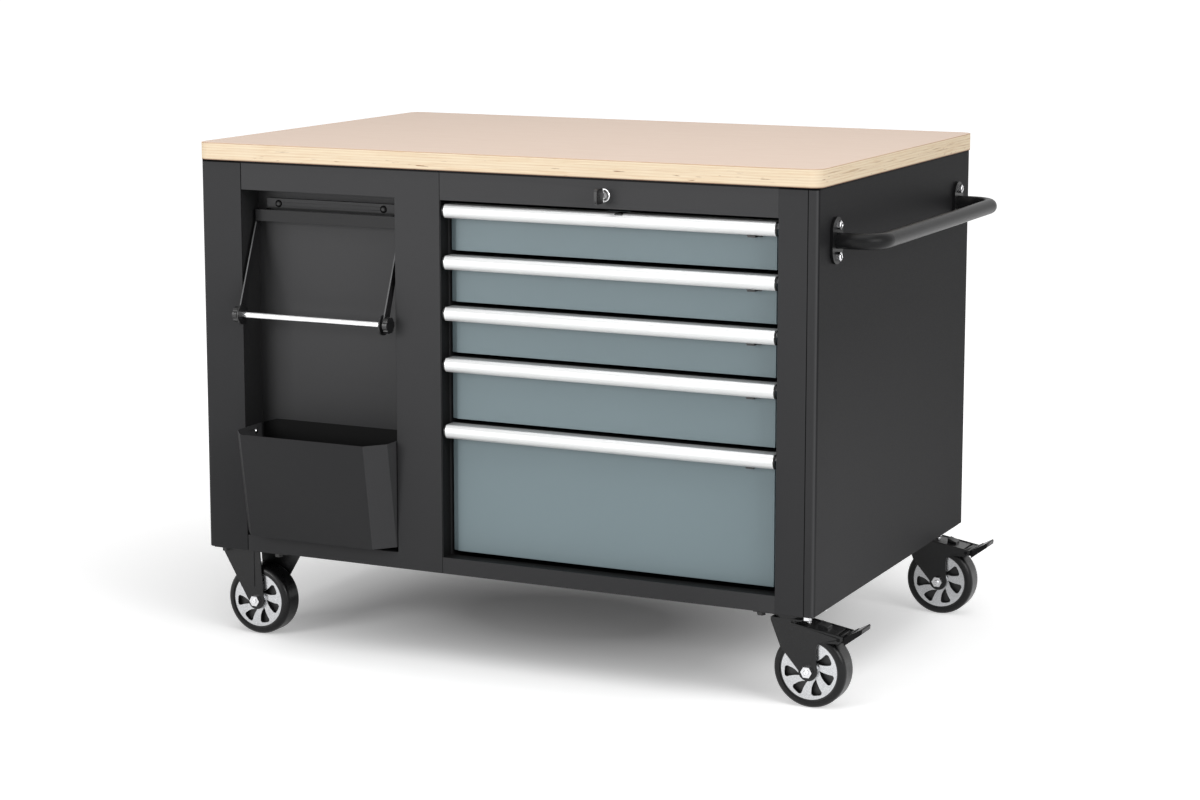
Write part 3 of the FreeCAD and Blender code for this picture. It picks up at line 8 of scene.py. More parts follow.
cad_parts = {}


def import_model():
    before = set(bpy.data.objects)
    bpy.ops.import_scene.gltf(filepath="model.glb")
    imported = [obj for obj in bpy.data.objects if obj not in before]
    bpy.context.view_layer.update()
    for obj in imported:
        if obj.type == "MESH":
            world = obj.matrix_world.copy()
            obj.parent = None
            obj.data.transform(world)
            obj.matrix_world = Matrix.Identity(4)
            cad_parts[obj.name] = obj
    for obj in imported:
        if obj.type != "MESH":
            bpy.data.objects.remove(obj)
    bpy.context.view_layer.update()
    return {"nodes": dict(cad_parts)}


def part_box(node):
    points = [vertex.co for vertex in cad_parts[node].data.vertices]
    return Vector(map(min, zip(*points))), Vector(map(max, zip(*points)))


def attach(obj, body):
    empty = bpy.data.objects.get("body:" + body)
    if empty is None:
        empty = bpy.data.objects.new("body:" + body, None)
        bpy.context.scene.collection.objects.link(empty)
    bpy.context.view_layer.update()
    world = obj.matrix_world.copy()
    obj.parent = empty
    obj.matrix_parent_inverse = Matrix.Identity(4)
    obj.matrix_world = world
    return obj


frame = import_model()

# Places are in metres in the shared frame: z is up from the floor and the front looks along -y

NODES = frame["nodes"]
X, Y, Z = range(3)
TOP_LOW, TOP_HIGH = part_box("worktop")
FRONT_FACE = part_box("niche_frame")[0].y
LEFT_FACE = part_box("left_side_panel")[0].x
RIGHT_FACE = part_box("right_side_panel")[1].x
BODY_FOOT = 0.16

NUMBERS = range(1, 6)
ENDS = ("front", "rear")
CORNERS = [end + "_" + side for end in ENDS for side in ("left", "right")]


# Colours and node materials


def srgb(red, green, blue):
    """A colour from its 0 to 255 screen values, as linear RGBA."""
    linear = []
    for value in (red, green, blue):
        share = value / 255
        linear.append(share / 12.92 if share <= 0.04045 else ((share + 0.055) / 1.055) ** 2.4)
    return (*linear, 1.0)


def scaled(colour, factor):
    """The same colour, lighter or darker."""
    return tuple(channel * factor for channel in colour[:3]) + (1.0,)


WHITE = (1.0, 1.0, 1.0, 1.0)
# Near black for painted shade, and for dark joints
SHADE_AND_JOINT_BLACK = srgb(9, 9, 9)
BODY_GREY = srgb(60, 60, 61)


class Graph:
    """A node tree whose sockets take numbers, colours or the outputs of other nodes."""

    def __init__(self, tree):
        self.tree = tree

    def feed(self, socket, value):
        if isinstance(value, bpy.types.NodeSocket):
            self.tree.links.new(value, socket)
        elif value is not None:
            socket.default_value = value

    def node(self, kind, *values, **settings):
        node = self.tree.nodes.new(kind)
        for name, value in settings.items():
            setattr(node, name, value)
        for socket, value in zip(node.inputs, values):
            self.feed(socket, value)
        return node

    def math(self, operation, first, second=None, third=None):
        return self.node("ShaderNodeMath", first, second, third, operation=operation).outputs[0]

    def both(self, first, second):
        return self.math("MULTIPLY", first, second)

    def either(self, first, second):
        return self.math("MAXIMUM", first, second)

    def above(self, value, limit):
        return self.math("GREATER_THAN", value, limit)

    def below(self, value, limit):
        return self.math("LESS_THAN", value, limit)

    def distance(self, value, place):
        return self.math("ABSOLUTE", self.math("SUBTRACT", value, place))

    def span(self, value, low, high, to_low=0.0, to_high=1.0):
        """A value mapped from one range to another, clamped."""
        return self.node("ShaderNodeMapRange", value, low, high, to_low, to_high).outputs[0]

    def seen(self):
        """One for what the camera sees, directly, mirrored or through glass, and zero for other light."""
        rays = self.node("ShaderNodeLightPath").outputs
        seen = self.either(rays["Is Camera Ray"], rays["Is Glossy Ray"])
        return self.either(seen, rays["Is Transmission Ray"])


class Surface(Graph):
    """A Principled material, whose coordinates are those of the shared frame at rest."""

    def __init__(self, name, **sockets):
        self.material = bpy.data.materials.new(name)
        self.material.use_nodes = True
        super().__init__(self.material.node_tree)
        self.shader = self.tree.nodes["Principled BSDF"]
        self.set(**sockets)

    def set(self, **sockets):
        for name, value in sockets.items():
            self.feed(self.shader.inputs[name.replace("_", " ")], value)

    def coordinates(self, stretch=(1, 1, 1)):
        place = self.node("ShaderNodeTexCoord").outputs["Object"]
        return self.node("ShaderNodeMapping", place, None, None, stretch).outputs[0]

    def part(self, vector, axis):
        return self.node("ShaderNodeSeparateXYZ", vector).outputs[axis]

    def along(self, axis):
        """The place along an axis."""
        return self.part(self.coordinates(), axis)

    def facing(self, axis):
        """How far the surface faces along an axis, from -1 to 1."""
        return self.part(self.node("ShaderNodeNewGeometry").outputs["Normal"], axis)

    def noise(self, scale, detail=3.0, roughness=0.5, stretch=(1, 1, 1)):
        node = self.node("ShaderNodeTexNoise")
        self.feed(node.inputs["Vector"], self.coordinates(stretch))
        node.inputs["Scale"].default_value = scale
        node.inputs["Detail"].default_value = detail
        node.inputs["Roughness"].default_value = roughness
        return node.outputs["Fac"]

    def spread(self, noise, to_low=0.0, to_high=1.0):
        """Noise, which lies mostly between 0.3 and 0.7, spread over a range."""
        return self.span(noise, 0.3, 0.7, to_low, to_high)

    def blend(self, share, first, second):
        node = self.node("ShaderNodeMix", data_type="RGBA")
        self.feed(node.inputs[0], share)
        self.feed(node.inputs[6], first)
        self.feed(node.inputs[7], second)
        return node.outputs[2]

    def bump(self, height, depth, strength):
        """A bump of that depth in metres."""
        node = self.node("ShaderNodeBump")
        node.inputs["Strength"].default_value = strength
        node.inputs["Distance"].default_value = depth
        self.feed(node.inputs["Height"], height)
        self.set(Normal=node.outputs[0])


def powder_coat(name, colour, roughness=0.5, grain=0.00005, gloss=0.45, shade=None, tint=None):
    """Baked powder paint with a fine orange peel: tint varies its tone, mostly with painted light and shade,
    and shade says where it is near black, with painted shade and at dark joints.
    """
    surface = Surface(name, Specular_IOR_Level=gloss)
    cloud = surface.spread(surface.noise(3.0, detail=4.0), 0.0, 0.1)
    tone = surface.blend(cloud, colour, scaled(colour, 1.5))
    if tint:
        tone = tint(surface, tone)
    if shade:
        tone = surface.blend(shade(surface), tone, SHADE_AND_JOINT_BLACK)
    surface.set(Base_Color=tone)
    speckle = surface.noise(900.0, detail=2.0)
    surface.set(Roughness=surface.spread(speckle, roughness - 0.04, roughness + 0.06))
    surface.bump(surface.noise(520.0, roughness=0.6), grain, 0.6)
    return surface.material


# Tints of the powder paint: painted light and shade, and the paler fronts of the hanger's arms

FADE_HIGH = 0.72
FADE_RIGHT = (0.3, 0.5)


def painted_front_shade(surface, tone):
    """Painted shade: the front gets a little darker towards the floor, and less so on the right."""
    low = surface.span(surface.along(Z), BODY_FOOT, FADE_HIGH, 0.75, 0.0)
    left = surface.span(surface.along(X), *FADE_RIGHT, 1.0, 0.45)
    return surface.blend(surface.both(low, left), tone, srgb(43, 43, 44))


FLANK_HIGH = 0.62
FLANK_REAR = (-0.25, 0.37)
FLANK_START = (0.006, 0.001)
BEND_START = (0.0060, 0.0030)
BEND_END = (0.0022, 0.0008)
BEND_DEPTH = 0.008


def painted_side_shade(surface, tone):
    """Painted shade makes the flat sides darker than the front, above and behind most of all, and a painted
    highlight makes their front bends pale.
    """
    tone = painted_front_shade(surface, tone)
    reach = (RIGHT_FACE - LEFT_FACE) / 2
    away = surface.distance(surface.along(X), (LEFT_FACE + RIGHT_FACE) / 2)

    def under_skin(depths, *shares):
        return surface.span(away, reach - depths[0], reach - depths[1], *shares)

    high = surface.span(surface.along(Z), BODY_FOOT, FLANK_HIGH, 1.0, 0.0)
    flank_shade = surface.blend(high, srgb(33, 33, 34), srgb(55, 55, 56))
    flank_shade = surface.blend(surface.span(surface.along(Y), *FLANK_REAR, 0.0, 0.8), flank_shade, srgb(24, 24, 25))
    tone = surface.blend(under_skin(FLANK_START), tone, flank_shade)
    # Painted highlight down each side's rounded front edge
    bend_highlight = surface.both(under_skin(BEND_START), under_skin(BEND_END, 1.0, 0.0))
    bend_highlight = surface.both(bend_highlight, surface.below(surface.along(Y), FRONT_FACE + BEND_DEPTH))
    return surface.blend(bend_highlight, tone, srgb(74, 74, 75))


def painted_bin_cheek_light(surface, tone):
    """Painted light makes the folded right cheek of the bin lighter than its front."""
    return surface.blend(surface.span(surface.facing(X), 0.2, 0.5), tone, srgb(62, 62, 63))


ARM_TOP = 0.741


def pale_arm_fronts(surface, tone):
    """The front edges of the hanger's arms, painted pale."""
    front = surface.span(surface.facing(Y), -0.75, -0.6, 1.0, 0.0)
    arms = surface.below(surface.along(Z), ARM_TOP)
    return surface.blend(surface.both(front, arms), tone, srgb(98, 98, 99))


# Painted shade and dark joints on the powder paint

TOP_SHADOW_DEPTH = 0.004
SEAMS = (-0.534, -0.142, 0.5165)
SEAM_HALF_WIDTH = 0.0008
SEAM_DEPTH = 0.0006


# Painted shadow: the worktop's overhang darkens the body's top few millimetres
def shadow_under_worktop(surface):
    return surface.above(surface.along(Z), TOP_LOW.z - TOP_SHADOW_DEPTH)


def seams_and_top_shadow(surface):
    """Painted shadow under the worktop's overhang, and the dark joints between the folded sheets of the
    front.
    """
    shade = shadow_under_worktop(surface)
    on_front = surface.below(surface.along(Y), FRONT_FACE + SEAM_DEPTH)
    for seam in SEAMS:
        line = surface.below(surface.distance(surface.along(X), seam), SEAM_HALF_WIDTH)
        shade = surface.either(shade, surface.both(line, on_front))
    return shade


SLEEVE_START = (0.002, 0.004)


def sleeve_shade(surface):
    """Painted shade inside the drawer opening, and painted shadow under the worktop."""
    none, full = (FRONT_FACE + depth for depth in SLEEVE_START)
    inside = surface.span(surface.along(Y), none, full, 0.0, 0.85)
    return surface.either(inside, shadow_under_worktop(surface))


NICHE_SHADE = (0.01, 0.07)


def niche_wall_shade(surface):
    """Painted shade on the left wall of the niche, and the painted shadow it casts beside it on the back."""
    wall = surface.span(surface.facing(X), 0.5, 0.8, 0.0, 0.6)
    full, none = (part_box("niche_liner")[0].x + width for width in NICHE_SHADE)
    beside = surface.span(surface.along(X), full, none, 0.5, 0.0)
    return surface.either(wall, beside)


BIN_BACK = (-0.306, -0.300)


def bin_inside_shade(surface):
    """Painted shade on the faces of the bin that look to the rear, and on its back plate."""
    rear_face = surface.span(surface.facing(Y), 0.2, 0.4, 0.0, 0.9)
    back_plate = surface.span(surface.along(Y), *BIN_BACK, 0.0, 0.9)
    return surface.either(rear_face, back_plate)


BRACKET_SHADE = (0.0145, 0.0155)


def bracket_low_shade(surface):
    """Painted shade on the lowest 15 mm of the roll bracket."""
    full, none = (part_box("roll_bracket")[0].z + height for height in BRACKET_SHADE)
    return surface.span(surface.along(Z), full, none, 1.0, 0.0)


LEDGE = (-0.29, -0.28)


def ledge_shade_behind_handle(surface):
    """Painted shade on the ledge of a drawer front behind its handle."""
    up = surface.span(surface.facing(Z), 0.5, 0.9)
    near = surface.span(surface.along(Y), *LEDGE, 1.0, 0.0)
    return surface.both(up, near)


# Wood, metals, plastics and rubber

PLIES = 13
SPLIT_FROM = (4.0, 5.0)
SPLIT_TO = (9.0, 10.0)
RIGHT_EDGE = 0.001
FOOT_SHADOW = (0.0010, 0.0016)
SKIN_START = (0.0017, 0.0014)
FACE_START = (0.0008, 0.0003)


def plywood():
    """A sealed, faintly pink face over pale plies that show on the board's edges."""
    surface = Surface("plywood", Specular_IOR_Level=0.05)
    height = surface.span(surface.along(Z), TOP_LOW.z, TOP_HIGH.z, 0.0, float(PLIES))

    def under_top(depths):
        return surface.span(surface.along(Z), TOP_HIGH.z - depths[0], TOP_HIGH.z - depths[1])

    grain = surface.noise(9.0, detail=5.0, roughness=0.6, stretch=(1.0, 9.0, 1.0))
    fibre = surface.noise(60.0, roughness=0.6, stretch=(0.6, 14.0, 1.0))
    face = surface.blend(surface.span(grain, 0.25, 0.75), srgb(226, 202, 184), srgb(231, 209, 192))
    face = surface.blend(surface.span(fibre, 0.45, 0.8, 0.0, 0.25), face, srgb(216, 188, 168))

    odd = surface.math("PINGPONG", height, 1.0)
    edge = surface.blend(surface.span(odd, 0.2, 0.8, 0.0, 0.7), srgb(240, 223, 196), srgb(231, 209, 178))
    streak = surface.noise(16.0, detail=4.0, roughness=0.65, stretch=(1.0, 1.0, 28.0))
    edge = surface.blend(surface.span(streak, 0.5, 0.72, 0.0, 0.6), edge, srgb(222, 190, 152))

    glue = surface.span(surface.math("PINGPONG", height, 0.5), 0.0, 0.09, 0.85, 0.0)
    patches = surface.span(surface.noise(9.0, detail=2.0, stretch=(1.0, 1.0, 30.0)), 0.45, 0.65)
    edge = surface.blend(surface.both(glue, patches), edge, srgb(186, 146, 104))

    knots = surface.span(surface.noise(26.0, stretch=(1.0, 1.0, 13.0)), 0.66, 0.71, 0.0, 0.85)
    low_plies = surface.span(height, PLIES * 0.35, PLIES * 0.75, 1.0, 0.15)
    edge = surface.blend(surface.both(knots, low_plies), edge, srgb(146, 100, 64))

    # Rifts run along the middle plies of the right edge only
    rifts = surface.span(surface.noise(26.0, stretch=(1.0, 0.3, 15.0)), 0.54, 0.66, 0.0, 0.65)
    core = surface.both(surface.span(height, *SPLIT_FROM), surface.span(height, *SPLIT_TO, 1.0, 0.0))
    core = surface.both(core, surface.above(surface.along(X), TOP_HIGH.x - RIGHT_EDGE))
    edge = surface.blend(surface.both(rifts, core), edge, srgb(170, 126, 84))

    # Painted shadow: the lowest edge of the board, where it sits on the body, is darkened
    full, none = (TOP_LOW.z + rise for rise in FOOT_SHADOW)
    edge = surface.blend(surface.span(surface.along(Z), full, none, 0.8, 0.0), edge, srgb(136, 96, 76))
    edge = surface.blend(under_top(SKIN_START), edge, srgb(196, 160, 128))

    on_top = under_top(FACE_START)
    surface.set(Base_Color=surface.blend(on_top, edge, face))
    surface.set(Roughness=surface.span(on_top, 0.0, 1.0, 0.6, 0.42))
    surface.bump(surface.noise(300.0, roughness=0.6, stretch=(0.15, 1.0, 1.0)), 0.00006, 0.5)
    return surface.material


def drawing_lines(surface, stretch):
    """The fine lines that drawing or extruding leaves along a piece."""
    lines = surface.noise(700.0, roughness=0.6, stretch=stretch)
    surface.bump(lines, 0.00002, 0.4)
    return lines


def drawn_metal(name, colour, roughness, stretch):
    surface = Surface(name, Metallic=1.0)
    lines = drawing_lines(surface, stretch)
    surface.set(Base_Color=surface.blend(surface.spread(lines), colour, scaled(colour, 0.94)))
    surface.set(Roughness=surface.spread(lines, roughness - 0.04, roughness + 0.05))
    return surface.material


END_SHADE_LENGTH = 0.003
NOTCH_OFFSET = 0.024
NOTCH_HALF_WIDTH = 0.0075
NOTCH_DEPTH = 0.0022


def handle_metal():
    """Satin anodised extrusion with painted shade at its ends, and on the top handle a notch near the lock
    drawn in painted shade.
    """
    surface = Surface("anodised_aluminium", Metallic=0.55)
    lines = drawing_lines(surface, (0.02, 1, 1))
    tone = surface.blend(surface.spread(lines), srgb(218, 219, 219), srgb(211, 212, 212))
    low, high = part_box("handle_1")
    lock_low, lock_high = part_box("lock_housing")
    away = surface.distance(surface.along(X), (low.x + high.x) / 2)
    end_shade = surface.above(away, (high.x - low.x) / 2 - END_SHADE_LENGTH)
    beside = surface.distance(surface.along(X), (lock_low.x + lock_high.x) / 2 + NOTCH_OFFSET)
    at_top = surface.above(surface.along(Z), high.z - NOTCH_DEPTH)
    notch = surface.both(surface.below(beside, NOTCH_HALF_WIDTH), at_top)
    surface.set(Base_Color=surface.blend(surface.either(end_shade, notch), tone, srgb(14, 14, 14)))
    surface.set(Roughness=surface.spread(lines, 0.32, 0.41))
    return surface.material


def bright_plate(name, colour, roughness):
    """Plated steel with faint cloudy patches."""
    surface = Surface(name, Metallic=1.0, Base_Color=colour)
    surface.set(Roughness=surface.spread(surface.noise(240.0), roughness, roughness + 0.1))
    surface.bump(surface.noise(600.0, detail=2.0), 0.00003, 0.3)
    return surface.material


def mixed_fasteners(name, axis, limit, bright_above=True):
    """Bright plated heads on one side of a plane across an axis, black ones on the other."""
    surface = Surface(name)
    side_of = surface.above if bright_above else surface.below
    plated = side_of(surface.along(axis), limit)
    patches = surface.spread(surface.noise(240.0), 0.0, 0.1)
    surface.set(Base_Color=surface.blend(plated, srgb(12, 12, 12), srgb(214, 214, 216)), Metallic=plated)
    surface.set(Roughness=surface.math("ADD", patches, surface.span(plated, 0.0, 1.0, 0.5, 0.2)))
    surface.bump(surface.noise(600.0, detail=2.0), 0.00003, 0.3)
    return surface.material


def moulded(name, colour, roughness, gloss=0.5):
    """Plastic or rubber with a matt, slightly grained skin."""
    surface = Surface(name, Specular_IOR_Level=gloss)
    cloud = surface.spread(surface.noise(40.0), 0.0, 0.3)
    surface.set(Base_Color=surface.blend(cloud, colour, scaled(colour, 1.5)))
    surface.set(Roughness=surface.spread(surface.noise(120.0), roughness - 0.05, roughness + 0.08))
    surface.bump(surface.noise(700.0), 0.00008, 0.5)
    return surface.material


SILVER_START = (0.0190, 0.0194)
SILVER_RADIUS = 0.0482
BLACK_RADIUS = 0.0485


def wheel_face(name, middle):
    """A silver face on a black core: everything deeper or further out than the face stays black."""
    surface = Surface(name)
    outside = surface.span(surface.distance(surface.along(Y), middle.y), *SILVER_START)
    across = surface.math("SUBTRACT", surface.along(X), middle.x)
    upward = surface.math("SUBTRACT", surface.along(Z), middle.z)
    square = surface.math("MULTIPLY_ADD", across, across, surface.both(upward, upward))
    within = surface.span(surface.math("SQRT", square), SILVER_RADIUS, BLACK_RADIUS, 1.0, 0.0)
    silver = surface.both(outside, within)
    speck = surface.noise(420.0, detail=4.0, roughness=0.7)
    bright = surface.blend(surface.span(speck, 0.35, 0.65), srgb(180, 181, 183), srgb(202, 203, 205))
    surface.set(Base_Color=surface.blend(silver, srgb(14, 14, 15), bright))
    surface.set(Metallic=surface.span(silver, 0.0, 1.0, 0.0, 0.9))
    surface.set(Roughness=surface.span(silver, 0.0, 1.0, 0.4, 0.27))
    surface.bump(speck, 0.00001, 0.4)
    return surface.material


# The CAD nodes


def dress(material, *names):
    """Give CAD nodes a material."""
    for name in names:
        slots = NODES[name].data.materials
        slots.clear()
        slots.append(material)


def soften(width, *names):
    """Break the hard edges of CAD nodes, as bent or deburred metal has."""
    for name in names:
        weld = NODES[name].modifiers.new("weld", "WELD")
        weld.merge_threshold = 0.000002
        bevel = NODES[name].modifiers.new("soften", "BEVEL")
        bevel.width = width
        bevel.segments = 2
        bevel.limit_method = "ANGLE"
        bevel.angle_limit = math.radians(40)
        bevel.harden_normals = True
        bevel.use_clamp_overlap = True


def family(stem, endings):
    """The names of nodes that differ only in their ending."""
    return ["%s_%s" % (stem, ending) for ending in endings]


BOLTS_BRIGHT_FROM = 0.49
SCREWS_BRIGHT_BELOW = 0.72

dress(plywood(), "worktop")
dress(
    powder_coat("anthracite_coat", BODY_GREY, gloss=0.1, shade=seams_and_top_shadow, tint=painted_front_shade),
    "niche_frame", "divider_panel", "inner_wall", "back_panel", "floor_panel")
dress(
    powder_coat("side_coat", BODY_GREY, gloss=0.03, shade=seams_and_top_shadow, tint=painted_side_shade),
    "left_side_panel", "right_side_panel")
dress(
    powder_coat("frame_coat", BODY_GREY, gloss=0.12, shade=sleeve_shade, tint=painted_front_shade),
    "drawer_frame")
dress(
    powder_coat("niche_coat", srgb(58, 58, 59), gloss=0.2, shade=niche_wall_shade, tint=painted_front_shade),
    "niche_liner")
dress(powder_coat("bracket_coat", srgb(56, 56, 57), gloss=0.2, shade=bracket_low_shade), "roll_bracket")
dress(powder_coat("bin_coat", srgb(42, 42, 43), gloss=0.1, shade=bin_inside_shade, tint=painted_bin_cheek_light), "waste_bin")
dress(
    powder_coat("blue_grey_coat", srgb(110, 126, 131), 0.45, shade=ledge_shade_behind_handle),
    *family("drawer", NUMBERS))
dress(handle_metal(), *family("handle", NUMBERS))
dress(moulded("catch_plastic", srgb(18, 18, 19), 0.4), *family("catch", NUMBERS))
dress(
    drawn_metal("zinc_plated", srgb(190, 192, 195), 0.3, (1, 0.02, 1)),
    "slide_channels", *family("middle_slides", NUMBERS))
dress(bright_plate("chrome", srgb(225, 225, 226), 0.2), "lock_housing", "lock_cam")
dress(bright_plate("satin_plug", srgb(238, 238, 239), 0.42), "lock_plug")
dress(moulded("key_plastic", srgb(22, 22, 23), 0.4), "lock_key")
dress(powder_coat("black_enamel", srgb(17, 17, 18), 0.36, 0.00002, 0.15), "push_handle")
dress(
    bright_plate("plated_steel", srgb(214, 214, 216), 0.2),
    "rigid_axle_bolts", *family("swivel_axle_bolt", ENDS))
dress(mixed_fasteners("frame_fasteners", X, BOLTS_BRIGHT_FROM), "frame_bolts")
dress(mixed_fasteners("panel_fasteners", Z, SCREWS_BRIGHT_BELOW, bright_above=False), "panel_screws")
dress(powder_coat("black_coat", srgb(30, 30, 31), 0.35, gloss=0.2, tint=pale_arm_fronts), "roll_hanger")
dress(drawn_metal("bright_bar", srgb(232, 232, 233), 0.22, (0.02, 1, 1)), "roll_bar")
dress(moulded("knob_plastic", srgb(16, 16, 17), 0.36), "roll_knobs")
dress(
    powder_coat("caster_enamel", srgb(21, 21, 22), 0.3, 0.00003, 0.3),
    "rigid_forks", "swivel_plates", *family("swivel_fork", ENDS))
pedal_enamel = powder_coat("pedal_enamel", srgb(12, 12, 13), 0.26, 0.00003, 0.1)
dress(pedal_enamel, *family("brake_pedal", ENDS))
dress(moulded("tyre_rubber", srgb(15, 15, 16), 0.3, gloss=0.25), *family("tyre", CORNERS))
for corner in CORNERS:
    low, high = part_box("wheel_" + corner)
    dress(wheel_face("silver_face_" + corner, (low + high) / 2), "wheel_" + corner)

soften(0.0009, "left_side_panel", "niche_frame")
soften(0.0006, "drawer_frame")
soften(0.0005, "rigid_forks", *family("swivel_fork", ENDS))
soften(0.0004, "waste_bin", "roll_bracket", "roll_hanger", *family("drawer", NUMBERS))
soften(0.0004, *family("brake_pedal", ENDS))
soften(0.0003, *family("wheel", CORNERS))


# Small pieces, each set on the surface that carries it


def landing(node, start, aim):
    """Where a ray first meets a node, and which way the surface faces there."""
    mesh = NODES[node].data
    tree = BVHTree.FromPolygons([v.co for v in mesh.vertices], [p.vertices for p in mesh.polygons])
    place, normal, _, _ = tree.ray_cast(Vector(start), Vector(aim))
    return place, -normal if normal.dot(Vector(aim)) > 0 else normal


def finish_piece(name, work, body, material):
    """Turn worked faces into a piece that rides on a body."""
    bmesh.ops.recalc_face_normals(work, faces=work.faces)
    mesh = bpy.data.meshes.new(name)
    work.to_mesh(mesh)
    work.free()
    for face in mesh.polygons:
        face.use_smooth = True
    mesh.set_sharp_from_angle(angle=math.radians(35))
    mesh.materials.append(material)
    piece = bpy.data.objects.new(name, mesh)
    bpy.context.scene.collection.objects.link(piece)
    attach(piece, body)


TURN_SIDES = 32

# Profiles: each row is a radius and a height above the surface, in millimetres

PAN_HEAD = [(4.2, -0.6), (4.2, 0.8), (3.6, 2.1), (2.2, 2.6), (1.6, 1.8), (0, 1.6)]
STUB = [(4.4, -0.8), (4.4, 2.0), (3.6, 2.8), (1.2, 2.8), (0.8, 2.2), (0, 2.1)]
COLLAR = [(6.4, -0.4), (6.4, 0.6), (5.8, 1.2), (4.4, 1.4), (4.0, 1.0), (4.0, -0.4)]
RIM = [(5.4, -0.6), (5.4, 0.4), (4.8, 1.2), (3.8, 1.3), (3.3, 0.8), (3.3, -0.2)]
SOCKET = [(3.4, -0.3), (3.4, 0.1), (3.0, 0.2), (0, 0.15)]


def turned(name, profile, place, axis, body, material):
    """A piece turned from a profile, whose foot is at a place and whose height runs along an axis."""
    work = bmesh.new()
    turn = Vector(axis).to_track_quat("Z", "Y")
    rings = []
    for row in profile:
        radius, height = (size / 1000 for size in row)
        ring = []
        for k in range(TURN_SIDES if radius else 1):
            angle = math.tau * k / TURN_SIDES
            local = Vector((radius * math.cos(angle), radius * math.sin(angle), height))
            ring.append(work.verts.new(turn @ local + Vector(place)))
        rings.append(ring)
    for lower, upper in zip(rings, rings[1:]):
        for k in range(TURN_SIDES):
            corners = []
            for ring, step in ((lower, k), (lower, k + 1), (upper, k + 1), (upper, k)):
                vert = ring[step % len(ring)]
                if vert not in corners:
                    corners.append(vert)
            work.faces.new(corners)
    work.faces.new(list(reversed(rings[0])))
    finish_piece(name, work, body, material)


def bar(name, corners, rise, body, material):
    """A low rib: its foot is a ring of corners, its top is drawn in and lifted by rise."""
    work = bmesh.new()
    middle = sum(corners, Vector()) / len(corners)
    foot = [work.verts.new(corner) for corner in corners]
    waist = [work.verts.new(corner + rise * 0.7) for corner in corners]
    top = [work.verts.new(corner.lerp(middle, 0.12) + rise) for corner in corners]
    count = len(corners)
    for lower, upper in ((foot, waist), (waist, top)):
        for k in range(count):
            work.faces.new((lower[k], lower[(k + 1) % count], upper[(k + 1) % count], upper[k]))
    work.faces.new(top)
    work.faces.new(list(reversed(foot)))
    finish_piece(name, work, body, material)


DOWN = (0, 0, -1)
OVER_CASTERS = 0.2
BEFORE_FRONT = -0.4
BEYOND_RIGHT = 0.7

WEB_SCREW_X = 0.505
WEB_SCREW_SHIFT = 0.004
RIGHT_AXLE_X = 0.515
LEFT_AXLE_X = -0.536
AXLE_Z = 0.0625
AXLE_RAY = 0.1
RIB_X = (0.5745, 0.5795, 0.5845)
RIB_HALF_LENGTH = 0.0215
RIB_TAPER = 0.0016
RIB_WIDTH = 0.0018
RIB_HEIGHT = 0.0018
RIB_SUNK = 0.0004
COLLAR_X = (-0.4865, -0.2765)
COLLAR_Z = 0.7733
BESIDE_HOLE = 0.0058
HANDLE_BOLT_Y = (-0.2755, 0.3365)
HANDLE_BOLT_Z = (0.7345, 0.7855)

bright = bright_plate("bright_screws", srgb(222, 222, 224), 0.16)
# Black for the bracket collars, and painted shade for the hollow of each bolt's socket
collar_black_and_socket_shade = moulded("black_collars_and_socket_shade", srgb(6, 6, 6), 0.65, gloss=0.03)

for end in ENDS:
    swivel = "swivel_" + end
    middle_y = sum(corner.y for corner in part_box("swivel_fork_" + end)) / 2

    start = (WEB_SCREW_X, middle_y + WEB_SCREW_SHIFT, OVER_CASTERS)
    place, out = landing("swivel_fork_" + end, start, DOWN)
    turned("web_screw_" + end, PAN_HEAD, place, out, swivel, bright)

    for side, axle_x, bolt, body in (
            ("right", RIGHT_AXLE_X, "swivel_axle_bolt_" + end, swivel),
            ("left", LEFT_AXLE_X, "rigid_axle_bolts", "cabinet")):
        for face, aim in (("outer", 1), ("inner", -1)):
            place, out = landing(bolt, (axle_x, middle_y - AXLE_RAY * aim, AXLE_Z), (0, aim, 0))
            turned("axle_end_%s_%s_%s" % (end, side, face), STUB, place, out, body, bright)

    for k, x in enumerate(RIB_X):
        half = RIB_HALF_LENGTH - RIB_TAPER * k
        feet = []
        for foot_x, side in ((x, -1), (x, 1), (x + RIB_WIDTH, 1), (x + RIB_WIDTH, -1)):
            start = (foot_x, middle_y + half * side, OVER_CASTERS)
            place, out = landing("brake_pedal_" + end, start, DOWN)
            feet.append(place - out * RIB_SUNK)
        bar("tread_rib_%s_%d" % (end, k), feet, out * RIB_HEIGHT, "pedal_" + end, pedal_enamel)

for k, x in enumerate(COLLAR_X):
    place, out = landing("roll_bracket", (x + BESIDE_HOLE, BEFORE_FRONT, COLLAR_Z), (0, 1, 0))
    turned("bracket_collar_%d" % k, COLLAR, (x, place.y, COLLAR_Z), out, "cabinet", collar_black_and_socket_shade)

for k, (y, z) in enumerate([(y, z) for y in HANDLE_BOLT_Y for z in HANDLE_BOLT_Z]):
    place, out = landing("frame_bolts", (BEYOND_RIGHT, y, z), (-1, 0, 0))
    turned("bolt_rim_%d" % k, RIM, place, out, "cabinet", bright)
    # Each socket is a dark disc of painted shade standing for the bolt's hollow socket
    turned("bolt_socket_%d" % k, SOCKET, place, out, "cabinet", collar_black_and_socket_shade)


# Floor, lights and camera

FLOOR_REACH = 60.0
GLOW_SHIFT = (0.09, -0.03, 0.0)
GLOW_SQUEEZE = (1.6, 2.3, 1.0)


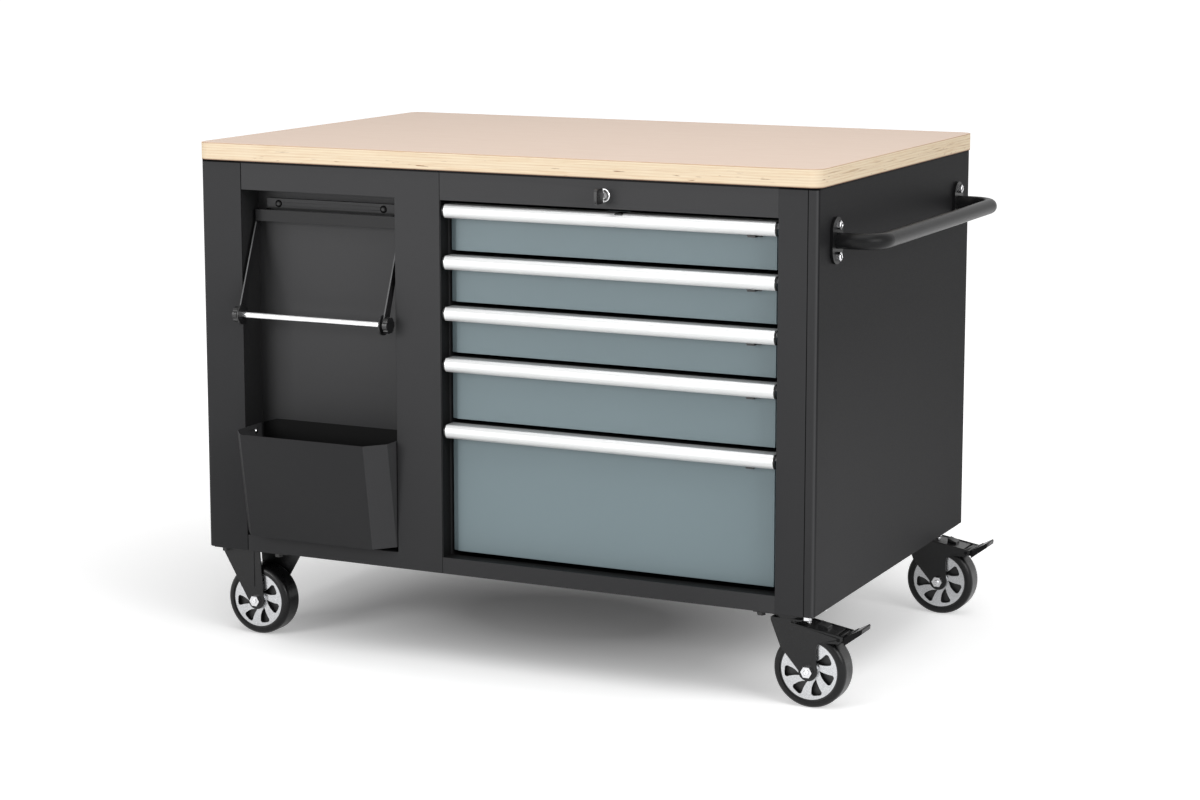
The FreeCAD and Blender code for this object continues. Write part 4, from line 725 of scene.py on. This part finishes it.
def floor():
    """A pale floor that keeps the cabinet's shadow: its seen glow is painted light, rising from under the
    cabinet outwards and to the right to lighten the shadow's edges, and white further away.
    """
    mesh = bpy.data.meshes.new("floor")
    corners = [(x * FLOOR_REACH, y * FLOOR_REACH, 0) for x, y in ((-1, -1), (1, -1), (1, 1), (-1, 1))]
    mesh.from_pydata(corners, [], [(0, 1, 2, 3)])
    obj = bpy.data.objects.new("floor", mesh)
    bpy.context.scene.collection.objects.link(obj)
    surface = Surface("floor_paper", Base_Color=srgb(246, 246, 246), Roughness=1.0, Specular_IOR_Level=0.0)
    place = surface.coordinates()
    place = surface.node("ShaderNodeVectorMath", place, GLOW_SHIFT, operation="ADD").outputs[0]
    place = surface.node("ShaderNodeVectorMath", place, GLOW_SQUEEZE, operation="MULTIPLY").outputs[0]
    away = surface.node("ShaderNodeVectorMath", place, operation="LENGTH").outputs["Value"]
    near = surface.span(away, 0.3, 1.15, 0.02, 0.34)
    far = surface.span(away, 1.1, 4.0, 0.0, 0.5)
    right = surface.span(surface.along(X), 0.25, 0.6, 0.0, 0.14)
    glow = surface.math("ADD", surface.math("ADD", near, far), right)
    surface.set(Emission_Color=WHITE, Emission_Strength=surface.both(surface.seen(), glow))
    mesh.materials.append(surface.material)


FILL_LIGHT = 0.28


def world():
    """White wherever it is seen, and a weak fill light for everything else."""
    made = bpy.data.worlds.new("studio")
    bpy.context.scene.world = made
    made.use_nodes = True
    graph = Graph(made.node_tree)
    back = graph.tree.nodes["Background"]
    graph.feed(back.inputs["Color"], WHITE)
    graph.feed(back.inputs["Strength"], graph.span(graph.seen(), 0.0, 1.0, FILL_LIGHT, 1.0))


def place_looking(name, data, place, aim):
    """An object at a place that looks along an aim."""
    obj = bpy.data.objects.new(name, data)
    bpy.context.scene.collection.objects.link(obj)
    obj.location = place
    obj.rotation_mode = "QUATERNION"
    obj.rotation_quaternion = aim.to_track_quat("-Z", "Y")
    return obj


def softbox(name, place, target, size, power):
    lamp = bpy.data.lights.new(name, "AREA")
    lamp.shape = "RECTANGLE"
    lamp.size, lamp.size_y = size
    lamp.energy = power
    place_looking(name, lamp, place, Vector(target) - Vector(place))


CAMERA_PLACE = (2.0455, -4.2944, 1.2882)
CAMERA_YAW = math.radians(25.602)
CAMERA_PITCH = math.radians(-8.933)


def camera():
    """The photograph's viewpoint, solved from its perspective."""
    data = bpy.data.cameras.new("camera")
    data.sensor_width = 36.0
    data.lens = 81.31
    data.shift_y = -0.0583
    data.clip_end = 200.0
    level = math.cos(CAMERA_PITCH)
    aim = (-math.sin(CAMERA_YAW) * level, math.cos(CAMERA_YAW) * level, math.sin(CAMERA_PITCH))
    bpy.context.scene.camera = place_looking("camera", data, CAMERA_PLACE, Vector(aim))


floor()
world()
softbox("overhead", (0.2, -0.8, 3.4), (0, 0, 0.6), (3.2, 2.8), 50)
softbox("front", (-1.9, -4.0, 1.5), (0, 0, 0.6), (1.8, 1.6), 75)
softbox("right", (3.8, -1.6, 2.0), (0.6, 0, 0.4), (2.4, 2.0), 68)
camera()
bpy.context.scene.view_settings.view_transform = "Standard"
